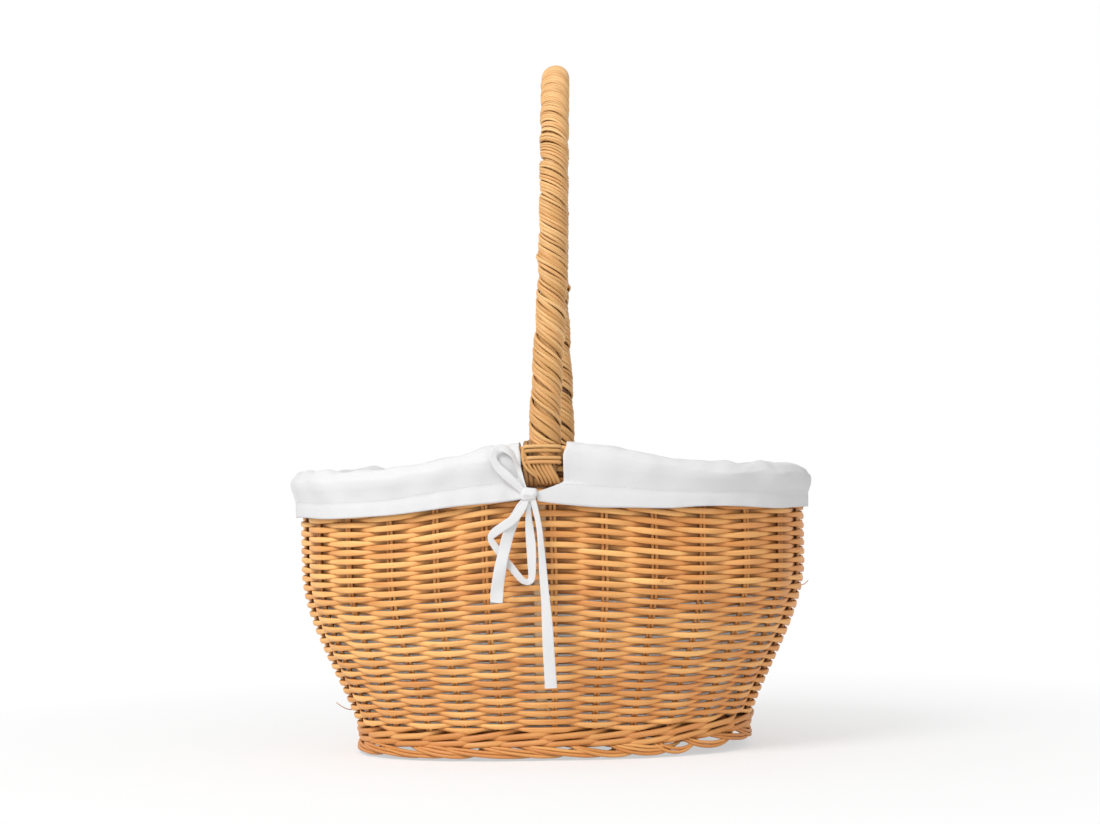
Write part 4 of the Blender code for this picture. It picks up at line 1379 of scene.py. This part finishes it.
def make_cuffs(settings):
    """The two halves of the cuff, from inside the rim over it and down to the hem, with their stitches."""
    cotton = material_named("white cotton", cloth_material, settings.cloth_colour)
    sides = (
        ("cuff_left", "liner_cuff_left", REAR_STATION, FRONT_STATION),
        ("cuff_right", "liner_cuff_right", FRONT_STATION, REAR_STATION + STATION_COUNT),
    )
    for number, (name, node, first, last) in enumerate(sides):
        rng = np.random.default_rng(SEED + 20 + number)
        start = float(distance_of(first)) + NOTCH_HALF
        end = float(distance_of(last)) - NOTCH_HALF
        length = end - start
        distances = np.linspace(start, end, 320)
        turns = turn_at(distances)
        by_handle = handle_pull_share(distances % RIM_PERIMETER)
        waves = ripple(rng, distances, length, range(6, 26, 3), 0.7)
        fold = HEM_FOLD * (1 + waves).clip(0, 2.2) * (1 - 0.7 * eased(np.abs(end_share(turns)), 0.75, 0.95))
        puff = 0.8 + ripple(rng, distances, length, range(3, 16, 2), 0.7) * (1 - 0.7 * by_handle)
        hem_lift = HEM_LIFT[name] * saddle_share(turns) ** 0.6
        hem_lift = hem_lift + ripple(rng, distances, length, range(4, 12), HEM_UNEVENNESS)
        hem_lift = hem_lift + humps(distances, HEM_PULLS[name])
        bunch = humps(distances, TOP_BUNCHES[name])
        top = rim_top(turns)
        out = oval_normal(turns, *half_sizes(top))
        rim = wall(turns, top)
        rows = []
        for i, (across, up) in enumerate(cuff_profile(turns, fold, puff, hem_lift)):
            across = across - (HANDLE_PULL * by_handle if i in INSIDE_POINTS else 0)
            across = across + RIGHT_END_BULGE.get(i, 0) * eased(end_share(turns), 0.82, 0.98)
            if i in BUNCHED_POINTS:
                up = up + ripple(rng, distances, length, range(9, 36, 3), RIM_UNEVENNESS)
                up = up + bunch * float(np.interp(i, (2, 4, 5, 9), (0, 1, 1, 0)))
            if i in TOP_POINTS:
                up = np.maximum(up, top - hoop_sink(turns) + CUFF_OVER_HOOP)
            rows.append(np.concatenate([rim[:, :2] + out * across[:, None], up[:, None]], axis=1))
        known = np.stack([2 * rows[0] - rows[1], *rows, 2 * rows[-1] - rows[-2]])
        at = np.linspace(0, len(rows) - 1, 66)
        share = at / at[-1]
        grid = spline_at(known.reshape(len(known), -1), at).reshape(len(at), -1, 3)
        grid = grid + crumple(rng, grid, share, distances, out, length)
        ends = np.minimum(distances - start, end - distances)
        inner = 1 - eased(share, 0.40, 0.54)
        grid[..., 0] += NOTCH_WIDER[name] * inner[:, None] * np.exp(-((ends / NOTCH_FADE) ** 2))
        for where, drawn in ((0, LONG_END), (-1, SHORT_END)):
            side = -1 if (name == "cuff_right") == (where == 0) else 1
            gather_corner(grid, share, np.abs(distances - distances[where]), side, *drawn)
        cuff = sew(name, grid, cotton)
        place_piece(cuff, "liner", "cotton", node)
        stitch_hem(f"{name}_stitches", grid, share)


def gather_corner(grid, share, away, side, reach, past):
    """Draws the cuff's lower corner to the knot, as the tape's end does that is sewn to it."""
    rows = eased((share - 0.79) / 0.08, 0, 1)
    pull = rows[:, None] * np.exp(-((away / reach) ** 2))[None, :]
    anchor = np.empty_like(grid)
    anchor[..., 0] = side * (KNOT_SHIFT + past)
    anchor[..., 1] = side * (KNOT_DEPTH - CORNER_INSET)
    anchor[..., 2] = KNOT_HEIGHT - CORNER_DROP + 0.5 * (grid[..., 2] - KNOT_HEIGHT + CORNER_DROP)
    grid += (anchor - grid) * np.stack([pull, pull**0.6, pull], axis=2)


def crumple(rng, grid, share, distances, out, length):
    """Soft creases that run aslant over the cuff, strongest over the rim and in its middle."""
    moved = np.zeros(grid.shape[:2])
    for _ in range(CREASES):
        at = rng.uniform(0.02, 0.98) * length
        width = rng.uniform(0.006, 0.018)
        slant = rng.uniform(-0.09, 0.09)
        middle = rng.uniform(0.35, 0.75)
        along = distances[None, :] - distances[0] - at - slant * (share[:, None] - middle)
        reach = np.exp(-((share[:, None] - middle) ** 2) / 0.045)
        moved += rng.uniform(0.3, 0.8) * np.exp(-((along / width) ** 2)) * reach
    ends = np.minimum(distances - distances[0], distances[-1] - distances)
    moved += 0.7 * np.exp(-((ends / 0.003) ** 2)) * (share[:, None] > 0.45)
    outer = np.clip((share - 0.42) / 0.1, 0, 1)[:, None]
    flat = np.concatenate([out, np.zeros((len(out), 1))], axis=1)
    return (CREASE_DEPTH * moved * outer)[:, :, None] * flat[None]


def stitch_tree():
    """Lays a stitch at even steps along each guide line."""
    tree, given, result = new_tree(
        "hem stitches",
        "GeometryNodeTree",
        [
            ("Seam lines", "NodeSocketGeometry", None),
            ("Step", "NodeSocketFloat", 0.0032),
            ("Length", "NodeSocketFloat", 0.0023),
            ("Thread", "NodeSocketFloat", 0.0004),
            ("Material", "NodeSocketMaterial", None),
        ],
        [("Stitches", "NodeSocketGeometry")],
    )
    lines = put(tree, "GeometryNodeMeshToCurve", {"Mesh": given["Seam lines"]}).outputs["Curve"]
    even = put(tree, "GeometryNodeResampleCurve", {"Curve": lines, "Length": given["Step"]}, mode="LENGTH")
    tangent = put(tree, "GeometryNodeInputTangent").outputs["Tangent"]
    ball = put(tree, "GeometryNodeMeshUVSphere", {"Segments": 6, "Rings": 4, "Radius": 0.5}).outputs["Mesh"]
    turn = put(tree, "FunctionNodeAlignRotationToVector", {"Vector": tangent}, axis="X")
    size = put(tree, "ShaderNodeCombineXYZ", {0: given["Length"], 1: given["Thread"], 2: given["Thread"]})
    laid = put(
        tree,
        "GeometryNodeInstanceOnPoints",
        {
            "Points": even.outputs["Curve"],
            "Instance": ball,
            "Rotation": turn.outputs["Rotation"],
            "Scale": size.outputs["Vector"],
        },
    )
    join(tree, finished(tree, laid.outputs["Instances"], given["Material"]), result["Stitches"])
    return tree


def stitch_hem(name, grid, share):
    """A line of stitches on the cuff, a finger's breadth above its hem."""
    row = int(np.argmin(np.abs(share - STITCH_SHARE)))
    guide = Guide()
    guide.add(grid[row] + STITCH_LIFT * unit(grid[row] * (1, 1, 0)), (0, 0, 1), 0.001, 0.001)
    thread = material_named("cotton thread", cloth_material, (0.78, 0.78, 0.76))
    stitches = grown(name, guide, "hem stitches", stitch_tree, {"Material": thread})
    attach(stitches, "liner")


# Routes of the tapes from the knot's middle, in millimetres across, up and out, with each one's half width
UPPER_LOOP = [
    (-4, 2, -0.5, 2.2),
    (-9.6, 7.6, -1.4, 3.0),
    (-15.6, 13.4, -2.0, 3.1),
    (-21.0, 19.4, -2.0, 2.7),
    (-23.2, 25.4, -1.9, 2.2),
    (-21.2, 30.6, -1.5, 2.1),
    (-16.4, 31.2, -1.6, 2.6),
    (-11.2, 27.4, -2.2, 2.7),
    (-7.8, 21.4, -2.7, 2.0),
    (-5.8, 14.0, -2.6, 1.7),
    (-2.6, 4.0, -1.2, 1.9),
]
LOWER_LOOP = [
    (-1.6, -3.0, 0.9, 1.9),
    (-4.4, -9.0, 1.9, 2.4),
    (-10.0, -15.8, 2.4, 3.0),
    (-17.0, -20.6, 1.9, 3.1),
    (-23.6, -25.0, 0.2, 2.9),
    (-26.2, -28.8, -1.0, 2.2),
    (-23.4, -34.2, -1.8, 2.5),
    (-17.8, -42.0, -2.2, 2.6),
    (-11.8, -49.8, -2.3, 2.6),
    (-6.6, -56.2, -2.3, 2.5),
    (-3.8, -58.0, -2.2, 2.2),
    (-0.8, -57.8, -2.2, 2.2),
    (0.6, -54.8, -1.7, 2.8),
    (0.8, -46.0, -1.1, 3.4),
    (0.6, -34.0, -0.5, 3.4),
    (-0.2, -22.0, -0.3, 2.7),
    (-0.6, -12.0, -0.2, 2.0),
    (0.2, -4.0, -0.3, 1.9),
]
SHORT_TAIL = [
    (-2.2, -3.0, -0.2, 2.0),
    (-6.4, -9.0, -0.4, 3.0),
    (-10.8, -17.6, -0.2, 3.6),
    (-14.2, -26.0, 0.2, 3.8),
    (-17.9, -39.0, 0.3, 3.9),
    (-20.4, -50.0, 0.2, 4.1),
    (-22.4, -62.0, 0.3, 4.3),
    (-23.2, -71.4, 0.6, 4.4),
]
LONG_TAIL = [
    (2.4, -2.6, 0.9, 1.9),
    (3.8, -8.6, 0.8, 2.1),
    (6.2, -21.0, 0.3, 1.9),
    (7.5, -37.0, 0.2, 2.2),
    (8.5, -56.0, 0.1, 2.8),
    (9.9, -79.0, 0.0, 3.6),
    (10.9, -107.0, 0.2, 3.9),
    (11.8, -128.7, 0.4, 4.1),
]


def make_bows(settings):
    """A bow of tape under each end of the handle, the rear one like the front one turned round."""
    cotton = material_named("white cotton", cloth_material, settings.cloth_colour)
    tapes = {
        "upper_loop": (UPPER_LOOP, 60, 0.7),
        "lower_loop": (LOWER_LOOP, 90, 0.5),
        "short_tail": (SHORT_TAIL, 40, 0.5),
        "long_tail": (LONG_TAIL, 60, 0.35),
    }
    for where, side in (("front", -1), ("rear", 1)):
        turned = (-side, -side, 1)
        knot_at = Vector((side * KNOT_SHIFT, side * KNOT_DEPTH, KNOT_HEIGHT))
        for seed, (name, (route, count, turning)) in enumerate(tapes.items()):
            rng = np.random.default_rng(SEED + 30 + seed)
            across, up, out, half_width = smooth_route(np.array(route) / 1000, count).T
            points = np.stack([across, -out, up], axis=1) * turned
            tilt = turning * ripple(rng, np.linspace(0, 1, count), 1.0, (0.6, 1.3, 2.1), 1)
            looks = np.stack([np.sin(tilt), -np.cos(tilt), 0.15 * np.sin(3 * tilt)], axis=1) * turned
            guide = Guide()
            guide.add(points + np.array(knot_at), looks, half_width, TAPE_HALF_THICKNESS, cut=False)
            tape = weave_canes(f"{where}_{name}", guide, cotton, sides=16, squareness=0.55, unevenness=0.0)
            place_piece(tape, "liner", "cotton", f"{where}_bow_{name}")
        tie_knot(where, knot_at, turned, cotton)


def tie_knot(where, knot_at, turned, cotton):
    """The knot's wrapped band, with its pleats gathered to both sides."""
    around = np.linspace(0, 2 * math.pi, 40, endpoint=False)
    columns = len(around)
    bm = bmesh.new()
    laid = bm.loops.layers.float_vector.new("grain_at")
    verts = []
    for share in np.linspace(-0.98, 0.98, 22):
        girth = (1 - abs(share) ** 2.6) ** 0.5
        pleats = 1 + 0.07 * np.cos(5 * around + 2.5 * share) + 0.05 * np.cos(8 * around - share)
        size = girth * pleats * (1 - 0.10 * math.cos(math.pi * share))
        x = KNOT_HALF_LENGTH * share + KNOT_SLANT * np.sin(around)
        depth = np.where(np.cos(around) > 0, KNOT_FRONT, KNOT_BACK)
        y, z = -depth * size * np.cos(around), KNOT_HALF_HEIGHT * size * np.sin(around)
        ring = np.stack([x, y, z], axis=1) * turned
        verts.append([bm.verts.new(Vector(point) + knot_at) for point in ring])
    for i in range(len(verts) - 1):
        for j in range(columns):
            corners = (i, j), (i, j + 1), (i + 1, j + 1), (i + 1, j)
            face = bm.faces.new([verts[a][b % columns] for a, b in corners])
            for loop, (a, b) in zip(face.loops, corners):
                loop[laid] = (0.0006 * a, 0, 0.0007 * b)
    bm.faces.new(verts[0])
    bm.faces.new(verts[-1])
    mesh = closed_mesh(f"{where}_knot", bm)
    mesh.materials.append(cotton)
    return place_piece(linked(f"{where}_knot", mesh), "liner", "cotton", f"{where}_bow_knot")


# Stage


def make_stage(settings):
    """The pale floor, the camera and the lights."""
    for obj in list(bpy.data.objects):
        if obj.type in ("CAMERA", "LIGHT"):
            bpy.data.objects.remove(obj)
    mesh = bpy.data.meshes.new("floor")
    corners = [(x * FLOOR_HALF, y * FLOOR_HALF, 0) for x, y in ((-1, -1), (1, -1), (1, 1), (-1, 1))]
    mesh.from_pydata(corners, [], [(0, 1, 2, 3)])
    mesh.materials.append(floor_material(settings.floor_colour))
    floor = linked("floor", mesh)
    aim_camera(settings)
    light_stage(settings)


def seen_directly(tree):
    """1 where the camera or a reflection looks, and 0 for the rays that only bring light."""
    path = put(tree, "ShaderNodeLightPath").outputs
    return maths(tree, "MAXIMUM", path["Is Camera Ray"], path["Is Glossy Ray"])


def floor_material(colour):
    """A pale floor that keeps the basket's shadow and fades to white further out."""
    material, tree, shader = new_material("pale floor")
    shader.inputs["Base Color"].default_value = (*colour, 1)
    shader.inputs["Roughness"].default_value = 0.9
    shader.inputs["Specular IOR Level"].default_value = 0.1
    place = put(tree, "ShaderNodeTexCoord").outputs["Object"]
    edge = {"Value": vectors(tree, "LENGTH", place), "From Min": 0.12, "From Max": 0.62, "To Min": 0.55}
    away = put(tree, "ShaderNodeMapRange", edge).outputs["Result"]
    white = put(tree, "ShaderNodeEmission", {"Color": (1, 1, 1, 1), "Strength": 1.0}).outputs["Emission"]
    share = maths(tree, "MULTIPLY", seen_directly(tree), away)
    mix = put(tree, "ShaderNodeMixShader", {0: share, 1: shader.outputs["BSDF"], 2: white})
    join(tree, mix.outputs["Shader"], tree.nodes["Material Output"].inputs["Surface"])
    return material


def aim_camera(settings):
    """The camera in front of the basket, a little to the right and rolled as in the photo."""
    data = bpy.data.cameras.new("camera")
    data.sensor_width = 36
    data.lens = settings.camera_lens
    camera = linked("camera", data)
    azimuth, distance = settings.camera_azimuth, settings.camera_distance
    camera.location = (distance * math.sin(azimuth), -distance * math.cos(azimuth), settings.camera_height)
    camera.rotation_mode = "QUATERNION"
    level = Vector((-math.sin(azimuth), math.cos(azimuth), math.tan(settings.camera_tilt)))
    roll = Quaternion((0, 0, 1), settings.camera_roll)
    camera.rotation_quaternion = level.to_track_quat("-Z", "Y") @ roll
    bpy.context.scene.camera = camera


def light_stage(settings):
    """A white room that lights the basket softly, and two round lamps in front of it."""
    world = bpy.data.worlds.new("white room")
    bpy.context.scene.world = world
    world.use_nodes = True
    tree = world.node_tree
    background = tree.nodes["Background"]
    background.inputs["Color"].default_value = (1, 1, 1, 1)
    room = settings.room_strength
    strength = maths(tree, "MULTIPLY_ADD", seen_directly(tree), 1 - room, room)
    join(tree, strength, background.inputs["Strength"])
    lamps = [
        ("key", (-0.9, -1.2, 1.6), 1.0, settings.key_power),
        ("fill", (1.4, -1.3, 0.8), 1.2, settings.fill_power),
    ]
    for name, at, size, power in lamps:
        data = bpy.data.lights.new(name, "AREA")
        data.shape = "DISK"
        data.size = size
        data.energy = power
        lamp = linked(name, data)
        lamp.location = at
        lamp.rotation_mode = "QUATERNION"
        lamp.rotation_quaternion = (LAMPS_LOOK_AT - Vector(at)).to_track_quat("-Z", "Y")
    bpy.context.scene.view_settings.view_transform = "Standard"


# Add-on


class CaneSettings(bpy.types.PropertyGroup):
    """Sizes and colours of the cane."""

    cane_height: FloatProperty(
        name="Cane height", description="Height of a weaver's section", default=0.0039, unit="LENGTH"
    )
    cane_thickness: FloatProperty(
        name="Cane thickness", description="Thickness of a weaver, in and out", default=0.0024, unit="LENGTH"
    )
    rod_size: FloatProperty(
        name="Rod size", description="Thickness of each of a stake's two rods", default=0.0024, unit="LENGTH"
    )
    border_rod: FloatProperty(
        name="Border rod",
        description="Thickness of the rods of the foot border",
        default=0.0027,
        unit="LENGTH",
    )
    wrap_strands: IntProperty(
        name="Wrap strands", description="Strands in the bundle wound round the handle", default=11
    )
    cane_light: FloatVectorProperty(
        name="Light cane",
        description="Colour of the palest cane",
        default=(0.98, 0.55, 0.19),
        subtype="COLOR",
    )
    cane_dark: FloatVectorProperty(
        name="Dark cane",
        description="Colour of the darkest cane",
        default=(0.70, 0.29, 0.075),
        subtype="COLOR",
    )
    wrap_light: FloatVectorProperty(
        name="Light wrap",
        description="Palest colour of the handle's wrap",
        default=(0.93, 0.59, 0.26),
        subtype="COLOR",
    )
    wrap_dark: FloatVectorProperty(
        name="Dark wrap",
        description="Darkest colour of the handle's wrap",
        default=(0.60, 0.31, 0.10),
        subtype="COLOR",
    )
    rod_light: FloatVectorProperty(
        name="Light rod",
        description="Palest colour of the handle's rod",
        default=(0.78, 0.60, 0.38),
        subtype="COLOR",
    )
    rod_dark: FloatVectorProperty(
        name="Dark rod",
        description="Darkest colour of the handle's rod",
        default=(0.54, 0.40, 0.23),
        subtype="COLOR",
    )


class ClothSettings(bpy.types.PropertyGroup):
    """Colours of the liner."""

    cloth_colour: FloatVectorProperty(
        name="Cloth", description="Colour of the cotton", default=(0.745, 0.745, 0.75), subtype="COLOR"
    )
    bag_colour: FloatVectorProperty(
        name="Bag",
        description="Colour of the single cotton of the bag",
        default=(0.97, 0.95, 0.92),
        subtype="COLOR",
    )


class StageSettings(bpy.types.PropertyGroup):
    """The floor, the lights and the camera."""

    floor_colour: FloatVectorProperty(
        name="Floor", description="Colour of the floor", default=(0.9, 0.9, 0.9), subtype="COLOR"
    )
    room_strength: FloatProperty(
        name="Room light", description="Strength of the light all round", default=0.5
    )
    key_power: FloatProperty(
        name="Key light", description="Power of the lamp at the left", default=29, unit="POWER"
    )
    fill_power: FloatProperty(
        name="Fill light", description="Power of the lamp at the right", default=4.5, unit="POWER"
    )
    camera_lens: FloatProperty(
        name="Lens", description="Focal length in millimetres", default=77.3
    )
    camera_azimuth: FloatProperty(
        name="Azimuth",
        description="How far the camera stands to the right",
        default=math.radians(2.75),
        subtype="ANGLE",
    )
    camera_distance: FloatProperty(
        name="Distance", description="From the basket's middle to the camera", default=1.70, unit="LENGTH"
    )
    camera_height: FloatProperty(
        name="Height", description="Height of the camera", default=0.20, unit="LENGTH"
    )
    camera_tilt: FloatProperty(
        name="Tilt", description="How far the camera looks up", default=math.radians(1.33), subtype="ANGLE"
    )
    camera_roll: FloatProperty(
        name="Roll", description="How far the camera is rolled", default=math.radians(-1.3), subtype="ANGLE"
    )


class BASKET_OT_weave(bpy.types.Operator):
    """Weave the wall's rows of cane"""

    bl_idname = "basket.weave"
    bl_label = "Weave the wall"

    def execute(self, context):
        make_weave(context.scene.basket_cane)
        return {"FINISHED"}


class BASKET_OT_stakes(bpy.types.Operator):
    """Set the pairs of rods that the wall is woven round"""

    bl_idname = "basket.stakes"
    bl_label = "Set the stakes"

    def execute(self, context):
        make_stakes(context.scene.basket_cane)
        return {"FINISHED"}


class BASKET_OT_wale(bpy.types.Operator):
    """Work the twisted rounds above the foot"""

    bl_idname = "basket.wale"
    bl_label = "Work the wale"

    def execute(self, context):
        make_wale(context.scene.basket_cane)
        return {"FINISHED"}


class BASKET_OT_border(bpy.types.Operator):
    """Loop the rods of the foot border"""

    bl_idname = "basket.border"
    bl_label = "Lay the border"

    def execute(self, context):
        make_border(context.scene.basket_cane)
        return {"FINISHED"}


class BASKET_OT_base(bpy.types.Operator):
    """Weave the base mat and lay its sticks"""

    bl_idname = "basket.base"
    bl_label = "Weave the base"

    def execute(self, context):
        make_base(context.scene.basket_cane)
        return {"FINISHED"}


class BASKET_OT_hoops(bpy.types.Operator):
    """Fit the hoops outside and inside the stakes' tops"""

    bl_idname = "basket.hoops"
    bl_label = "Fit the rim"

    def execute(self, context):
        make_hoops(context.scene.basket_cane)
        return {"FINISHED"}


class BASKET_OT_rod(bpy.types.Operator):
    """Bend the handle's peeled rod"""

    bl_idname = "basket.rod"
    bl_label = "Bend the handle"

    def execute(self, context):
        make_core(context.scene.basket_cane)
        return {"FINISHED"}


class BASKET_OT_wrap(bpy.types.Operator):
    """Wind the strands round the handle"""

    bl_idname = "basket.wrap"
    bl_label = "Wrap the handle"

    def execute(self, context):
        make_wrap(context.scene.basket_cane)
        return {"FINISHED"}


class BASKET_OT_lashings(bpy.types.Operator):
    """Bind the handle to the rim, front and rear"""

    bl_idname = "basket.lashings"
    bl_label = "Lash the handle"

    def execute(self, context):
        make_lashings(context.scene.basket_cane)
        return {"FINISHED"}


class BASKET_OT_bag(bpy.types.Operator):
    """Sew the bag that lines the inside"""

    bl_idname = "basket.bag"
    bl_label = "Sew the bag"

    def execute(self, context):
        make_bag(context.scene.basket_cloth)
        return {"FINISHED"}


class BASKET_OT_cuffs(bpy.types.Operator):
    """Fold the cuffs over the rim and stitch their hems"""

    bl_idname = "basket.cuffs"
    bl_label = "Fold the cuffs"

    def execute(self, context):
        make_cuffs(context.scene.basket_cloth)
        return {"FINISHED"}


class BASKET_OT_bows(bpy.types.Operator):
    """Tie the tapes under both ends of the handle"""

    bl_idname = "basket.bows"
    bl_label = "Tie the bows"

    def execute(self, context):
        make_bows(context.scene.basket_cloth)
        return {"FINISHED"}


class BASKET_OT_stage(bpy.types.Operator):
    """Set the floor, the lights and the camera"""

    bl_idname = "basket.stage"
    bl_label = "Set the stage"

    def execute(self, context):
        make_stage(context.scene.basket_stage)
        return {"FINISHED"}


OPERATORS = (
    BASKET_OT_weave,
    BASKET_OT_stakes,
    BASKET_OT_wale,
    BASKET_OT_border,
    BASKET_OT_base,
    BASKET_OT_hoops,
    BASKET_OT_rod,
    BASKET_OT_wrap,
    BASKET_OT_lashings,
    BASKET_OT_bag,
    BASKET_OT_cuffs,
    BASKET_OT_bows,
    BASKET_OT_stage,
)
GROUPS = {
    "basket_cane": CaneSettings,
    "basket_cloth": ClothSettings,
    "basket_stage": StageSettings,
}


class BASKET_PT_panel(bpy.types.Panel):
    """Lists the steps of making the basket"""

    bl_idname = "BASKET_PT_panel"
    bl_label = "Foraging basket"
    bl_space_type = "VIEW_3D"
    bl_region_type = "UI"
    bl_category = "Basket"

    def draw(self, context):
        for group in GROUPS:
            settings = getattr(context.scene, group)
            for name in settings.bl_rna.properties.keys():
                if name not in ("rna_type", "name"):
                    self.layout.prop(settings, name)
        for operator in OPERATORS:
            self.layout.operator(operator.bl_idname)


def register():
    """Registers the classes and puts their settings on the scene."""
    for cls in (*GROUPS.values(), *OPERATORS, BASKET_PT_panel):
        bpy.utils.register_class(cls)
    for name, cls in GROUPS.items():
        setattr(bpy.types.Scene, name, PointerProperty(type=cls))


def unregister():
    """Takes the settings and the classes away again."""
    for name in GROUPS:
        delattr(bpy.types.Scene, name)
    for cls in (BASKET_PT_panel, *reversed(OPERATORS), *GROUPS.values()):
        bpy.utils.unregister_class(cls)


def main():
    """Makes the basket and its stage."""
    register()
    bpy.ops.basket.weave()
    bpy.ops.basket.stakes()
    bpy.ops.basket.wale()
    bpy.ops.basket.border()
    bpy.ops.basket.base()
    bpy.ops.basket.hoops()
    bpy.ops.basket.rod()
    bpy.ops.basket.wrap()
    bpy.ops.basket.lashings()
    bpy.ops.basket.bag()
    bpy.ops.basket.cuffs()
    bpy.ops.basket.bows()
    bpy.ops.basket.stage()


if __name__ == "__main__":
    main()
